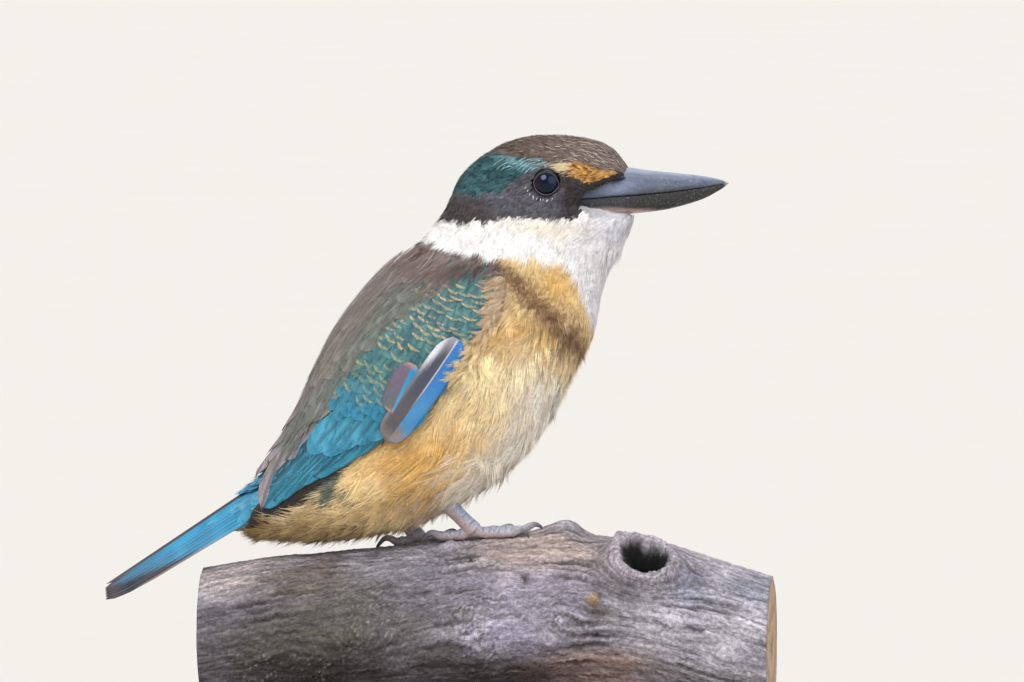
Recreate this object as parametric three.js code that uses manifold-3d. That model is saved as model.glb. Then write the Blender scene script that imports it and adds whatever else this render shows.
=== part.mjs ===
// A life-size sacred kingfisher, perched on a cut length of weathered driftwood that a display stand holds.
// Millimetres, +Z up, +X the way the bird faces. The origin is the centre of the stand's underside.
// The bird is laid out in its own frame, whose origin is the top of the driftwood below its breast.

import * as THREE from "three";
import { ParametricGeometry } from "three/addons/geometries/ParametricGeometry.js";
import { mergeVertices } from "three/addons/utils/BufferGeometryUtils.js";
import Module from "manifold-3d";

const wasm = await Module();
wasm.setup();

// ---------- Driving dimensions ----------
const GAP = 0.3; // between pieces that touch
const PERCH_TOP = 73; // height of the driftwood's top, where the bird stands, over the table
const BIRD_AHEAD = -5; // the bird's frame, ahead of the stand's centre

// The body along its spine: the outline over the back [x, z], the outline under the belly [x, z], half the
// width, and how far the widest level sits below the middle.
const BODY = [
  { at: "bill base", back: [48.4, 105.2], belly: [50.8, 92.0], half: 6.4, low: 0.1 },
  { at: "forehead", back: [42.6, 110.9], belly: [49.8, 88.2], half: 8.8, low: 0.22 },
  { at: "eye", back: [29.6, 113.6], belly: [47.0, 81.8], half: 11.8, low: 0.26 },
  { at: "crown", back: [15.4, 111.8], belly: [43.2, 75.4], half: 13.4, low: 0.26 },
  { at: "nape", back: [2.6, 103.2], belly: [40.6, 66.6], half: 14.3, low: 0.22 },
  { at: "collar", back: [-3.4, 91.4], belly: [39.0, 58.0], half: 16.2, low: 0.16 },
  { at: "shoulder", back: [-10.4, 83.2], belly: [35.2, 49.8], half: 18.6, low: 0.12 },
  { at: "mantle", back: [-21.8, 72.2], belly: [30.4, 40.6], half: 20.2, low: 0.1 },
  { at: "back", back: [-31.6, 59.6], belly: [24.8, 30.6], half: 20.4, low: 0.1 },
  { at: "flank", back: [-38.4, 47.0], belly: [16.4, 21.0], half: 19.4, low: 0.1 },
  { at: "thigh", back: [-43.6, 35.6], belly: [4.0, 12.4], half: 17.2, low: 0.1 },
  { at: "rump", back: [-49.4, 25.4], belly: [-16.6, 3.2], half: 13.4, low: 0.05 },
  { at: "tail coverts", back: [-56.0, 16.8], belly: [-38.4, 0.0], half: 9.2, low: 0 },
  { at: "vent", back: [-63.4, 10.8], belly: [-60.6, 1.2], half: 6.2, low: 0 },
];
const NECK_FROM = 4.5; // stations where the head, neck, trunk and rump are parted
const TRUNK_FROM = 6.0;
const RUMP_FROM = 11.2;
const PART_GAP = 0.035; // in stations, about the usual gap

const EYE = { x: 26.5, y: 7.7, z: 100.3, radius: 4.4 };

// The bill's outlines along its length, each [x, z], and half its width there.
const BILL = [
  { culmen: [34.0, 101.4], edge: [34.0, 95.9], keel: [34.0, 93.6], half: 7.4 },
  { culmen: [40.6, 104.4], edge: [38.6, 96.1], keel: [39.0, 92.6], half: 7.4 },
  { culmen: [47.6, 104.5], edge: [46.0, 96.7], keel: [46.4, 92.2], half: 6.4 },
  { culmen: [54.7, 103.6], edge: [53.6, 97.2], keel: [53.6, 92.2], half: 5.0 },
  { culmen: [62.2, 102.9], edge: [61.2, 97.9], keel: [60.8, 93.1], half: 3.7 },
  { culmen: [69.7, 102.1], edge: [69.0, 98.9], keel: [69.2, 95.6], half: 2.3 },
  { culmen: [74.4, 101.2], edge: [74.2, 99.8], keel: [74.4, 98.3], half: 1.1 },
  { culmen: [76.8, 100.3], edge: [76.8, 100.1], keel: [76.6, 99.9], half: 0.25 },
];
const BILL_SEAM = 0.15; // half the gap between the closed halves

// The folded wing on the side of the body, by station: its upper and lower edges, as shares of the way down
// from the back to the belly, and its thickness.
const WING = [
  { station: 4.95, upper: 0.39, lower: 0.47, thick: 1.0 },
  { station: 5.5, upper: 0.25, lower: 0.51, thick: 2.2 },
  { station: 6.2, upper: 0.15, lower: 0.545, thick: 2.8 },
  { station: 7.2, upper: 0.08, lower: 0.555, thick: 3.0 },
  { station: 8.1, upper: 0.05, lower: 0.56, thick: 2.9 },
  { station: 9.0, upper: 0.035, lower: 0.53, thick: 2.6 },
  { station: 9.7, upper: 0.03, lower: 0.42, thick: 2.3 },
  { station: 10.4, upper: 0.03, lower: 0.37, thick: 2.0 },
  { station: 11.2, upper: 0.04, lower: 0.335, thick: 1.7 },
  { station: 12.0, upper: 0.12, lower: 0.365, thick: 1.4 },
  { station: 12.45, upper: 0.3, lower: 0.45, thick: 1.0 },
];
// The long flight feathers that show as a blade below the folded wing.
const PRIMARIES = [
  { station: 9.9, upper: 0.41, lower: 0.43, thick: 0.9 },
  { station: 10.6, upper: 0.375, lower: 0.425, thick: 1.1 },
  { station: 11.4, upper: 0.345, lower: 0.42, thick: 1.2 },
  { station: 12.1, upper: 0.4, lower: 0.52, thick: 1.1 },
  { station: 12.5, upper: 0.5, lower: 0.66, thick: 1.0 },
  { station: 12.85, upper: 0.7, lower: 0.8, thick: 0.8 },
];

// The closed tail: its top line, half its width along it, and how far its sides drop at the root and tip.
const TAIL = {
  root: [-54.3, 15.6],
  tip: [-98.3, -13.9],
  half: [5.6, 6.6, 7.2, 6.2],
  drop: [5.6, 3.6],
  round: 0.03,
  thick: 1.7,
  thinning: 0.6,
};

const LEG = { radius: 1.85, toe: 1.25, claw: 0.85, clawTip: 0.1 };
const FEET = {
  right: { ankle: [-4.4, -5.2, 13.0], joint: [5.4, -4.4, 3.1], heading: -2 },
  left: { ankle: [-18.4, 6.6, 8.4], joint: [-11.6, 6.4, 0.4], heading: 4 },
};
// Toes of the right foot: where each points, in degrees left of the foot's heading, and its length.
const TOES = [
  { name: "hind", bearing: 177, length: 14.8, claw: 5.4 },
  { name: "inner", bearing: 17, length: 12.4, claw: 4.0 },
  { name: "middle", bearing: 2, length: 19.4, claw: 4.6 },
  { name: "outer", bearing: -8, length: 16.0, claw: 4.2 },
];

// The driftwood every 16 mm along it: the height of its top and its radius.
const PERCH = {
  from: -71,
  to: 89,
  top: [-8.8, -6.1, -4.2, -2.9, -0.9, 0.9, 1.4, 1.0, -0.8, -5.2, -9.8],
  radius: [18.6, 19.4, 20.2, 20.8, 21.4, 21.8, 22.2, 22.8, 22.6, 21.4, 20.4],
};
const KNOT = { x: 54.5, angle: 38, rim: 8.6, rise: 4.2, hollow: 8.5 };
const HUMP = { x: 32.0, angle: 2, behind: 8.5, ahead: 4.6, rise: 4.2, around: 0.36 };

const BASE = { length: 124, width: 80, height: 8, corner: 18, bevel: 1.6 };
const ROD = { radius: 2.5, x: 36, collar: 5.2, collarHeight: 3.2 };

// How many facets go round each kind of piece, and along it.
const FACETS = {
  body: 24,
  bill: [14, 11],
  wing: [16, 16],
  primaries: [10, 10],
  tail: [18, 9],
  eye: [14, 9],
  shank: [8, 5],
  toe: [6, 6],
  claw: [6, 4],
  perch: [26, 30],
  rod: 12,
};

// ---------- Materials ----------
function paint(color, roughness, metalness = 0) {
  return new THREE.MeshStandardMaterial({ color, roughness, metalness });
}
const CROWN = paint("#4c4038", 0.85);
const COLLAR = paint("#ece4d6", 0.9);
const BREAST = paint("#d9b36c", 0.9);
const RUMP_BUFF = paint("#c9a878", 0.9);
const TEAL = paint("#2f7f86", 0.7);
const FLIGHT = paint("#3c3a3e", 0.75);
const TAIL_BLUE = paint("#2f8fae", 0.65);
const BILL_HORN = paint("#3d4350", 0.4);
const BILL_LOWER = paint("#35373c", 0.45);
const EYE_BLACK = paint("#15120f", 0.08);
const LEG_GREY = paint("#84808c", 0.6);
const CLAW_HORN = paint("#3a3838", 0.4);
const DRIFTWOOD = paint("#85766c", 0.85);
const BASE_WOOD = paint("#3b2a20", 0.45);
const BRASS = paint("#b08d4e", 0.35, 1);

// ---------- Shaping tools ----------
const { cos, sin, PI, sqrt, max, min, acos, hypot } = Math;
const degrees = THREE.MathUtils.degToRad;
const mix = THREE.MathUtils.lerp;
const bell = (x) => Math.exp(-x * x);

// A smooth curve through evenly spaced values, read at a place between 0 and the last index.
function through(values) {
  const at = (i) => (Array.isArray(values[0]) ? values[i] : [values[i], 0]);
  const curve = new THREE.CatmullRomCurve3(values.map((_, i) => new THREE.Vector3(at(i)[0], 0, at(i)[1])));
  curve.curveType = "catmullrom";
  return (place) => curve.getPoint(min(1, max(0, place / (values.length - 1))));
}

// A closed surface from u round each section and v along it. Its ends are drawn to a point at their middle.
function closedSurface(shape, around, along) {
  const capped = (u, v, target) => {
    const steps = along + 2;
    const place = (v * steps - 1) / along;
    if (place > -1e-9 && place < 1 + 1e-9) return shape(u % 1, min(1, max(0, place)), target);
    const middle = new THREE.Vector3();
    for (let i = 0; i < around; i++) middle.add(shape(i / around, place < 0 ? 0 : 1, new THREE.Vector3()));
    return target.copy(middle.divideScalar(around));
  };
  return solidOf(new ParametricGeometry(capped, around, along + 2));
}

// A three.js geometry as a manifold solid, turned to face outwards.
function solidOf(geometry) {
  const bare = geometry.clone();
  bare.deleteAttribute("normal");
  bare.deleteAttribute("uv");
  const merged = mergeVertices(bare, 1e-4);
  const build = (flip) => {
    const triVerts = [];
    for (let i = 0; i < merged.index.count; i += 3) {
      const [a, b, c] = [0, 1, 2].map((k) => merged.index.getX(i + k));
      if (a !== b && b !== c && a !== c) triVerts.push(a, flip ? c : b, flip ? b : c);
    }
    const vertProperties = merged.attributes.position.array;
    const mesh = new wasm.Mesh({ numProp: 3, vertProperties, triVerts: Uint32Array.from(triVerts) });
    return new wasm.Manifold(mesh);
  };
  const made = build(false);
  return made.volume() < 0 ? build(true) : made;
}

// A manifold solid as a named mesh.
function piece(name, solid, material) {
  const { vertProperties, triVerts } = solid.getMesh();
  const geometry = new THREE.BufferGeometry();
  geometry.setAttribute("position", new THREE.BufferAttribute(vertProperties, 3));
  geometry.setIndex(new THREE.BufferAttribute(triVerts, 1));
  geometry.computeVertexNormals();
  const mesh = new THREE.Mesh(geometry, material.clone());
  mesh.name = name;
  return mesh;
}

const mirrored = (solid) => solid.mirror([0, 1, 0]);

// ---------- Body ----------
const backLine = through(BODY.map((s) => s.back));
const bellyLine = through(BODY.map((s) => s.belly));
const halfWidth = through(BODY.map((s) => s.half));
const lowness = through(BODY.map((s) => s.low));

// The point of the body's surface at a station and an angle from the back (0) by the right side to the belly
// (PI), pushed outwards by grow.
function bodyPoint(station, angle, grow, target = new THREE.Vector3()) {
  const back = backLine(station);
  const belly = bellyLine(station);
  const down = belly.clone().sub(back).normalize();
  const middle = back.clone().add(belly).multiplyScalar(0.5);
  const deep = back.distanceTo(belly) / 2 + grow;
  const wide = halfWidth(station).x + grow;
  const low = lowness(station).x;
  target.copy(middle).addScaledVector(down, -cos(angle) * deep);
  target.y = -wide * sin(angle - low * sin(angle));
  return target;
}

function bodyLength(from, to, along, grow = 0) {
  const shape = (u, v, target) => bodyPoint(mix(from, to, v), 2 * PI * u, grow, target);
  return closedSurface(shape, FACETS.body, along);
}

// ---------- Bill ----------
const billLine = (key) => through(BILL.map((s) => s[key]));
const culmen = billLine("culmen");
const edge = billLine("edge");
const keel = billLine("keel");
const billHalf = through(BILL.map((s) => s.half));

// Half of the bill: an arch from the cutting edges to the ridge, which is sharper than round.
function billHalfSolid(ridge, side, grow = 0) {
  const shape = (u, v, target) => {
    const place = v * (BILL.length - 1);
    const foot = edge(place);
    const top = ridge(place);
    const angle = 2 * PI * u;
    const rise = max(0, sin(angle)) ** 0.8;
    const width = (billHalf(place).x + grow) * Math.sign(cos(angle)) * Math.abs(cos(angle)) ** 0.8;
    target.copy(foot).lerp(top, rise);
    target.z += side * (rise > 0 ? grow * rise : 0) + side * (BILL_SEAM - grow * (rise > 0 ? 0 : 1));
    target.y = rise > 0 ? width : (billHalf(place).x + grow) * cos(angle);
    return target;
  };
  return closedSurface(shape, ...FACETS.bill);
}

// ---------- Wings ----------
const shareAngle = (share) => acos(1 - 2 * share);
const EDGE = 0.4; // how high a folded wing's edge lies, as a share of its thickness

// A patch laid on the body's side between an upper and a lower edge, its outer face rounded, its edges thin.
function sidePatch(rows, facets, grow = 0) {
  const station = through(rows.map((r) => r.station));
  const upper = through(rows.map((r) => r.upper));
  const lower = through(rows.map((r) => r.lower));
  const thick = through(rows.map((r) => r.thick));
  const shape = (u, v, target) => {
    const place = v * (rows.length - 1);
    const turn = 2 * PI * u;
    const across = 0.5 - 0.5 * cos(turn);
    const wider = grow / halfWidth(station(place).x).x;
    const top = shareAngle(upper(place).x) - wider;
    const angle = mix(top, shareAngle(lower(place).x) + wider, across);
    const full = thick(place).x;
    const outer = EDGE + (1 - EDGE) * sqrt(max(0, sin(turn)));
    const inner = EDGE * (1 - max(0, -sin(turn)) ** 0.25);
    const height = sin(turn) >= 0 ? outer * full + grow : inner * full - grow;
    return bodyPoint(station(place).x, angle, GAP + height, target);
  };
  return closedSurface(shape, ...facets);
}

// ---------- Tail ----------
const tailRun = new THREE.Vector3(TAIL.tip[0] - TAIL.root[0], 0, TAIL.tip[1] - TAIL.root[1]);
const tailUp = new THREE.Vector3(tailRun.z, 0, -tailRun.x).normalize();
const tailHalf = through(TAIL.half);

// The closed tail is a low roof, its outer feathers sloping down on both sides and its tip rounded.
function tailSolid() {
  const shape = (u, v, target) => {
    const turn = 2 * PI * u;
    const across = -cos(turn);
    const half = tailHalf(v * (TAIL.half.length - 1)).x;
    const roof = -across * across * mix(TAIL.drop[0], TAIL.drop[1], v);
    const shorter = 1 - TAIL.round * across * across * v;
    const swell = Math.sign(sin(turn)) * sqrt(Math.abs(sin(turn)));
    const wall = 0.5 * TAIL.thick * swell * mix(1, TAIL.thinning, v);
    target.set(TAIL.root[0], 0, TAIL.root[1]).addScaledVector(tailRun, v * shorter);
    target.addScaledVector(tailUp, roof + wall);
    target.y = half * across;
    return target;
  };
  return closedSurface(shape, ...FACETS.tail);
}

// ---------- Feet ----------
// A tube of varying radius along a curve, wider than high by flat.
function tube(curve, radiusAt, facets, flat = 1) {
  const shape = (u, v, target) => {
    const centre = curve.getPoint(v);
    const run = curve.getTangent(v);
    const side = new THREE.Vector3(-run.y, run.x, 0).normalize();
    const up = new THREE.Vector3().crossVectors(run, side);
    const radius = radiusAt(v);
    return target
      .copy(centre)
      .addScaledVector(side, cos(2 * PI * u) * radius * flat)
      .addScaledVector(up, sin(2 * PI * u) * radius);
  };
  return closedSurface(shape, ...facets);
}

// The height of the driftwood's surface under a point of the bird's frame.
function perchHeight(x, y) {
  let [low, high] = [-15, 20];
  for (let i = 0; i < 30; i++) {
    const z = (low + high) / 2;
    const centre = perchCentre(x);
    const angle = Math.atan2(y, z - centre);
    if (hypot(y, z - centre) < perchRadius(x, angle)) low = z;
    else high = z;
  }
  return low;
}

// One toe: from the foot's joint, along the driftwood, to the root of its claw, and the claw hooked beyond.
function toe(foot, row, mirror) {
  const heading = degrees(foot.heading + row.bearing * mirror);
  const [x, y, z] = foot.joint;
  const bare = row.length - row.claw;
  const over = (distance, height) => {
    const [px, py] = [x + cos(heading) * distance, y + sin(heading) * distance];
    return new THREE.Vector3(px, py, perchHeight(px, py) + height);
  };
  const start = new THREE.Vector3(x, y, z - 0.5);
  const path = new THREE.CatmullRomCurve3([
    start,
    over(bare * 0.35, LEG.toe + GAP + 0.25),
    over(bare * 0.7, LEG.toe + GAP + 0.35),
    over(bare, LEG.toe + GAP + 0.3),
  ]);
  const pads = (v) => LEG.toe * (1.06 - 0.16 * v + 0.09 * cos(6 * PI * v));
  const flesh = tube(path, pads, FACETS.toe, 1.05);
  const root = bare + 0.62 * LEG.toe;
  const hook = new THREE.CatmullRomCurve3([
    over(root, LEG.toe + GAP + 0.4),
    over(root + row.claw * 0.36, LEG.toe + GAP + 1.0),
    over(root + row.claw * 0.72, LEG.toe + GAP + 0.3),
    over(root + row.claw * 0.88, GAP + 0.25),
  ]);
  const claw = tube(hook, (v) => LEG.claw * (1 - v) ** 0.7 + LEG.clawTip, FACETS.claw, 0.8);
  return { flesh, claw };
}

const SWELL = 1.12; // how much thicker a shank is at its ends than its named radius

function footPieces(side) {
  const foot = FEET[side];
  const mirror = side === "right" ? 1 : -1;
  const shank = new THREE.LineCurve3(new THREE.Vector3(...foot.ankle), new THREE.Vector3(...foot.joint));
  const waist = (v) => LEG.radius * (SWELL - 0.3 * sin(PI * min(1, v * 1.15)));
  const tarsus = tube(shank, waist, FACETS.shank);
  const toes = TOES.map((row) => ({ ...row, ...toe(foot, row, mirror) }));
  const ball = solidOf(new THREE.SphereGeometry(LEG.radius * SWELL, 8, 6).translate(...foot.joint));
  const flesh = toes.reduce((all, one) => all.add(one.flesh), ball);
  const widerShank = tube(shank, (v) => waist(v) + GAP, FACETS.shank);
  const room = widerToe(flesh);
  const claws = toes.map((one) => piece(`claw_${side}_${one.name}`, one.claw.subtract(room), CLAW_HORN));
  return { tarsus, flesh: flesh.subtract(widerShank), claws };
}

// A foot grown by the usual gap, as it cuts its claws: joined with copies of itself shifted along each axis.
function widerToe(flesh) {
  const along = [0, 1, 2].map((axis) => new THREE.Vector3().setComponent(axis, GAP));
  const shifts = along.flatMap((shift) => [shift.toArray(), shift.clone().negate().toArray()]);
  return shifts.reduce((all, shift) => all.add(flesh.translate(shift)), flesh);
}

// ---------- Perch and stand ----------
const perchPlace = (x) => ((x - PERCH.from) / (PERCH.to - PERCH.from)) * (PERCH.top.length - 1);
const perchTop = through(PERCH.top);
const perchGirth = through(PERCH.radius);
const perchCentre = (x) => perchTop(perchPlace(x)).x - perchGirth(perchPlace(x)).x;

// Radius of the driftwood at a place along it and an angle from the top towards the left side: long waves
// that die out along the top, a hump, and a knot with a raised rim round a hollow.
function perchRadius(x, angle) {
  const wave = (height, length, turns) => height * sin(x / length + turns * angle);
  const waves = wave(0.7, 17, 2) + wave(0.45, 8.5, -3) + wave(0.35, 29, 5);
  const spread = x < HUMP.x ? HUMP.behind : HUMP.ahead;
  const hump = HUMP.rise * bell((x - HUMP.x) / spread) * bell((angle + degrees(HUMP.angle)) / HUMP.around);
  const girth = perchGirth(perchPlace(x)).x;
  const away = hypot(x - KNOT.x, (angle + degrees(KNOT.angle)) * girth) / KNOT.rim;
  const rim = KNOT.rise * bell((away - 0.72) / 0.5);
  const hollow = KNOT.hollow * bell(away / 0.48);
  return girth + waves * (1 - bell(angle / 0.6)) + hump + rim - hollow;
}

function perchSolid() {
  const shape = (u, v, target) => {
    const x = mix(PERCH.from, PERCH.to, v);
    const angle = 2 * PI * u;
    const wrapped = angle > PI ? angle - 2 * PI : angle;
    const radius = perchRadius(x, wrapped);
    return target.set(x, sin(angle) * radius, perchCentre(x) + cos(angle) * radius);
  };
  return closedSurface(shape, ...FACETS.perch);
}

function baseSolid() {
  const { length, width, corner, bevel, height } = BASE;
  const [x, y] = [length / 2 - bevel, width / 2 - bevel];
  const outline = new THREE.Shape();
  outline.moveTo(-x + corner, -y);
  outline.absarc(x - corner, -y + corner, corner, -PI / 2, 0);
  outline.absarc(x - corner, y - corner, corner, 0, PI / 2);
  outline.absarc(-x + corner, y - corner, corner, PI / 2, PI);
  outline.absarc(-x + corner, -y + corner, corner, PI, 1.5 * PI);
  const rounding = { bevelSize: bevel, bevelThickness: bevel, bevelSegments: 2, curveSegments: 4 };
  const block = new THREE.ExtrudeGeometry(outline, { depth: height - 2 * bevel, ...rounding });
  return solidOf(block.translate(0, 0, bevel));
}

// A rod with a collar at its foot, turned as one piece, up to the driftwood's underside.
function rodSolid(top) {
  const profile = [
    [0, 0],
    [ROD.collar, 0],
    [ROD.collar, ROD.collarHeight * 0.5],
    [ROD.collar * 0.62, ROD.collarHeight],
    [ROD.radius, ROD.collarHeight],
    [ROD.radius, top],
    [0, top],
  ].map(([x, y]) => new THREE.Vector2(x, y));
  return solidOf(new THREE.LatheGeometry(profile, FACETS.rod).rotateX(PI / 2));
}

// ---------- Assembly ----------
const kingfisher = new THREE.Group();
const bird = new THREE.Group();
bird.position.set(BIRD_AHEAD, 0, PERCH_TOP);
kingfisher.add(bird);

const upperBill = billHalfSolid(culmen, 1);
const lowerBill = billHalfSolid(keel, -1);
const billRoom = billHalfSolid(culmen, 1, GAP).add(billHalfSolid(keel, -1, GAP));
function eyeball(radius, y) {
  return solidOf(new THREE.SphereGeometry(radius, ...FACETS.eye).translate(EYE.x, y, EYE.z));
}


const head = bodyLength(0, NECK_FROM - PART_GAP, 12)
  .subtract(billRoom)
  .subtract(eyeball(EYE.radius + GAP, EYE.y))
  .subtract(eyeball(EYE.radius + GAP, -EYE.y));
bird.add(piece("head", head, CROWN));
bird.add(piece("neck", bodyLength(NECK_FROM, TRUNK_FROM - PART_GAP, 4), COLLAR));
bird.add(piece("bill_upper", upperBill, BILL_HORN));
bird.add(piece("bill_lower", lowerBill, BILL_LOWER));

const feet = { right: footPieces("right"), left: footPieces("left") };
const shankRoom = Object.values(FEET)
  .map((foot) => {
    const line = new THREE.LineCurve3(new THREE.Vector3(...foot.ankle), new THREE.Vector3(...foot.joint));
    return tube(line, () => LEG.radius * SWELL + GAP, FACETS.shank);
  })
  .reduce((a, b) => a.add(b));
bird.add(piece("trunk", bodyLength(TRUNK_FROM, RUMP_FROM - PART_GAP, 12).subtract(shankRoom), BREAST));
bird.add(piece("rump", bodyLength(RUMP_FROM, BODY.length - 1, 6).subtract(shankRoom), RUMP_BUFF));

const rumpRoom = bodyLength(RUMP_FROM - 0.3, BODY.length - 1, 7, GAP);
const tailRoom = rumpRoom.add(rumpRoom.translate([-GAP, 0, 0]));
bird.add(piece("tail", tailSolid().subtract(tailRoom), TAIL_BLUE));

const wing = sidePatch(WING, FACETS.wing);
const primaries = sidePatch(PRIMARIES, FACETS.primaries).subtract(sidePatch(WING, FACETS.wing, GAP));
for (const side of ["right", "left"]) {
  const place = (solid) => (side === "right" ? solid : mirrored(solid));
  bird.add(piece(`wing_${side}`, place(wing), TEAL));
  bird.add(piece(`primaries_${side}`, place(primaries), FLIGHT));
  bird.add(piece(`eye_${side}`, eyeball(EYE.radius, side === "right" ? -EYE.y : EYE.y), EYE_BLACK));
  bird.add(piece(`leg_${side}`, feet[side].tarsus, LEG_GREY));
  bird.add(piece(`foot_${side}`, feet[side].flesh, LEG_GREY));
  bird.add(...feet[side].claws);
}

const perch = perchSolid();
bird.add(piece("perch", perch, DRIFTWOOD));

kingfisher.add(piece("stand_base", baseSolid(), BASE_WOOD));
for (const [name, x] of [
  ["stand_rod_front", ROD.x],
  ["stand_rod_rear", -ROD.x],
]) {
  const perchInPlace = perch.translate([BIRD_AHEAD, 0, PERCH_TOP]);
  const grown = perchInPlace.add(perchInPlace.translate([0, 0, -GAP]));
  const middle = PERCH_TOP + perchCentre(x - BIRD_AHEAD);
  const tall = rodSolid(middle - BASE.height - GAP).translate([x, 0, BASE.height + GAP]);
  kingfisher.add(piece(name, tall.subtract(grown), BRASS));
}

export default kingfisher;
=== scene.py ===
"""A sacred kingfisher in young plumage on a cut length of driftwood, which a small display stand holds."""

import bpy
import numpy as np
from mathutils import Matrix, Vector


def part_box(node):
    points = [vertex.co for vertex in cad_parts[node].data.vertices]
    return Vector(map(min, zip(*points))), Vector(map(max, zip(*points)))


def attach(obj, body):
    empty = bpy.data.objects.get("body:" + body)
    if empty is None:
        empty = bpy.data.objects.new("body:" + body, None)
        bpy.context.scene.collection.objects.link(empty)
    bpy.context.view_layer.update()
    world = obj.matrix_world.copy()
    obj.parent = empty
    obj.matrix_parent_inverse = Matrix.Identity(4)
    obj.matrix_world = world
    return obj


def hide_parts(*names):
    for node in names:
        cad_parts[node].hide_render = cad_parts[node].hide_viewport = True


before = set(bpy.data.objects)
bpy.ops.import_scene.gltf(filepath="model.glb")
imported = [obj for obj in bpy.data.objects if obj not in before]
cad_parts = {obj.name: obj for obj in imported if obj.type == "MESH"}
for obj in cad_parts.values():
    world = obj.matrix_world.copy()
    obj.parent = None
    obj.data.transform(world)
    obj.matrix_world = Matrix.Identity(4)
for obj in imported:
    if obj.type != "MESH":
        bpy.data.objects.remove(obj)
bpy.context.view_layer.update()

# -------- sizes, in millimetres of the bird's own frame
# The body by station along its spine: back x, back z, belly x, belly z, half the width, and how far the
# widest level sits below the middle. The last row carries the tail coverts on over the tail.
BODY = np.array([
    [48.4, 105.2, 50.8, 92.0, 6.4, 0.10],
    [42.6, 110.9, 49.8, 88.2, 8.8, 0.22],
    [29.6, 113.6, 47.0, 81.8, 11.8, 0.26],
    [15.4, 111.8, 43.2, 75.4, 13.4, 0.26],
    [2.6, 103.2, 40.6, 66.6, 14.3, 0.22],
    [-3.4, 91.4, 39.0, 58.0, 16.2, 0.16],
    [-10.4, 83.2, 35.2, 49.8, 18.6, 0.12],
    [-21.8, 72.2, 30.4, 40.6, 20.2, 0.10],
    [-31.6, 59.6, 24.8, 30.6, 20.4, 0.10],
    [-38.4, 47.0, 16.4, 21.0, 19.4, 0.10],
    [-43.6, 35.6, 4.0, 12.4, 17.2, 0.10],
    [-49.4, 25.4, -16.6, 3.2, 13.4, 0.05],
    [-56.0, 16.8, -38.4, 0.0, 9.2, 0.0],
    [-63.4, 10.8, -60.6, 1.2, 6.2, 0.0],
    [-70.6, 6.0, -70.0, 0.6, 6.0, 0.0],
])
# The folded wing: station, upper and lower edge as shares of the way from back to belly, and thickness.
WING = np.array([
    [4.95, 0.39, 0.47, 1.0], [5.5, 0.25, 0.51, 2.2], [6.2, 0.15, 0.545, 2.8], [7.2, 0.08, 0.555, 3.0],
    [8.1, 0.05, 0.56, 2.9], [9.0, 0.035, 0.53, 2.6], [9.7, 0.03, 0.42, 2.3], [10.4, 0.03, 0.37, 2.0],
    [11.2, 0.04, 0.335, 1.7], [12.0, 0.12, 0.365, 1.4], [12.45, 0.30, 0.45, 1.0],
])
EYE = np.array([26.5, -7.7, 100.3])
EYE_RADIUS = 4.4
MM = 0.001

# The letters of the body's surface: s is a station, counted in rows of BODY; a is an angle, from the back
# by the right side round to the belly at pi and up the left; h is the share of the way down that an angle
# lies at; p is a point. In a feather's pattern t runs along it from 0 to 1, and w across it from -1 to 1.

# Where the bird's own frame lies in the part: the right eye's centre is the mark.
eye_low, eye_high = (np.array(corner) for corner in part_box("eye_right"))
ORIGIN = (eye_low + eye_high) / 2 / MM - EYE


def rng_for(number):
    """A seeded source of random numbers, one for each piece."""
    return np.random.default_rng(number)


# -------- arithmetic
def through(values, place):
    """A smooth (uniform Catmull-Rom) curve through evenly spaced values, read at fractional places."""
    values = np.asarray(values, float)
    last = len(values) - 1
    place = np.clip(np.asarray(place, float), 0, last)
    i = np.minimum(place.astype(int), last - 1)
    t = place - i
    ext = np.concatenate([[2 * values[0] - values[1]], values, [2 * values[-1] - values[-2]]])
    if values.ndim > 1:
        t = t[..., None]
    a, b, c, d = ext[i], ext[i + 1], ext[i + 2], ext[i + 3]
    return b + 0.5 * t * (c - a + t * (2 * a - 5 * b + 4 * c - d + t * (3 * (b - c) + d - a)))


def step(value, low, high):
    """0 below low, 1 above high, and a smooth S between."""
    t = np.clip((value - low) / (high - low), 0, 1)
    return t * t * (3 - 2 * t)


def blob(x, z, cx, cz, rx, rz):
    """A soft round spot, 1 at its centre."""
    return np.exp(-((x - cx) / rx) ** 2 - ((z - cz) / rz) ** 2)


def curve(x, points):
    """A bent line through points, read at x."""
    points = np.array(points)
    return np.interp(x, points[:, 0], points[:, 1])


def cloud(points, size, seed):
    """Soft random unevenness of about unit height: a sum of sine waves of random directions near one size."""
    rng = rng_for(seed)
    total = 0
    for _ in range(9):
        way = rng.normal(size=3)
        way *= 2 * np.pi / size / np.linalg.norm(way) * rng.uniform(0.6, 1.5)
        total = total + np.sin(points @ way + rng.uniform(0, 7))
    return total / 3


def unit(v):
    """Vectors drawn out or in to a length of one."""
    return v / np.maximum(np.linalg.norm(v, axis=-1, keepdims=True), 1e-9)


def linear(code):
    """An sRGB hex colour as linear light."""
    c = np.array([int(code[i:i + 2], 16) for i in (1, 3, 5)]) / 255
    return np.where(c <= 0.04045, c / 12.92, ((c + 0.055) / 1.055) ** 2.4)


def blend(under, over, share):
    """Colour over laid on colour under by a share between 0 and 1. A colour is linear light or a hex code."""
    under, over = (linear(tone) if isinstance(tone, str) else tone for tone in (under, over))
    return under + (over - under) * np.clip(share, 0, 1)[..., None]


def layered(tone, layers):
    """Colours laid on one after another, each with its share."""
    for over, share in layers:
        tone = blend(tone, over, share)
    return tone


def spotted(under, over, x, z, *spots):
    """Colour over laid on colour under in soft spots, each its middle, its two radii and its share."""
    return blend(under, over, sum(share * blob(x, z, *spot) for *spot, share in spots))


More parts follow.
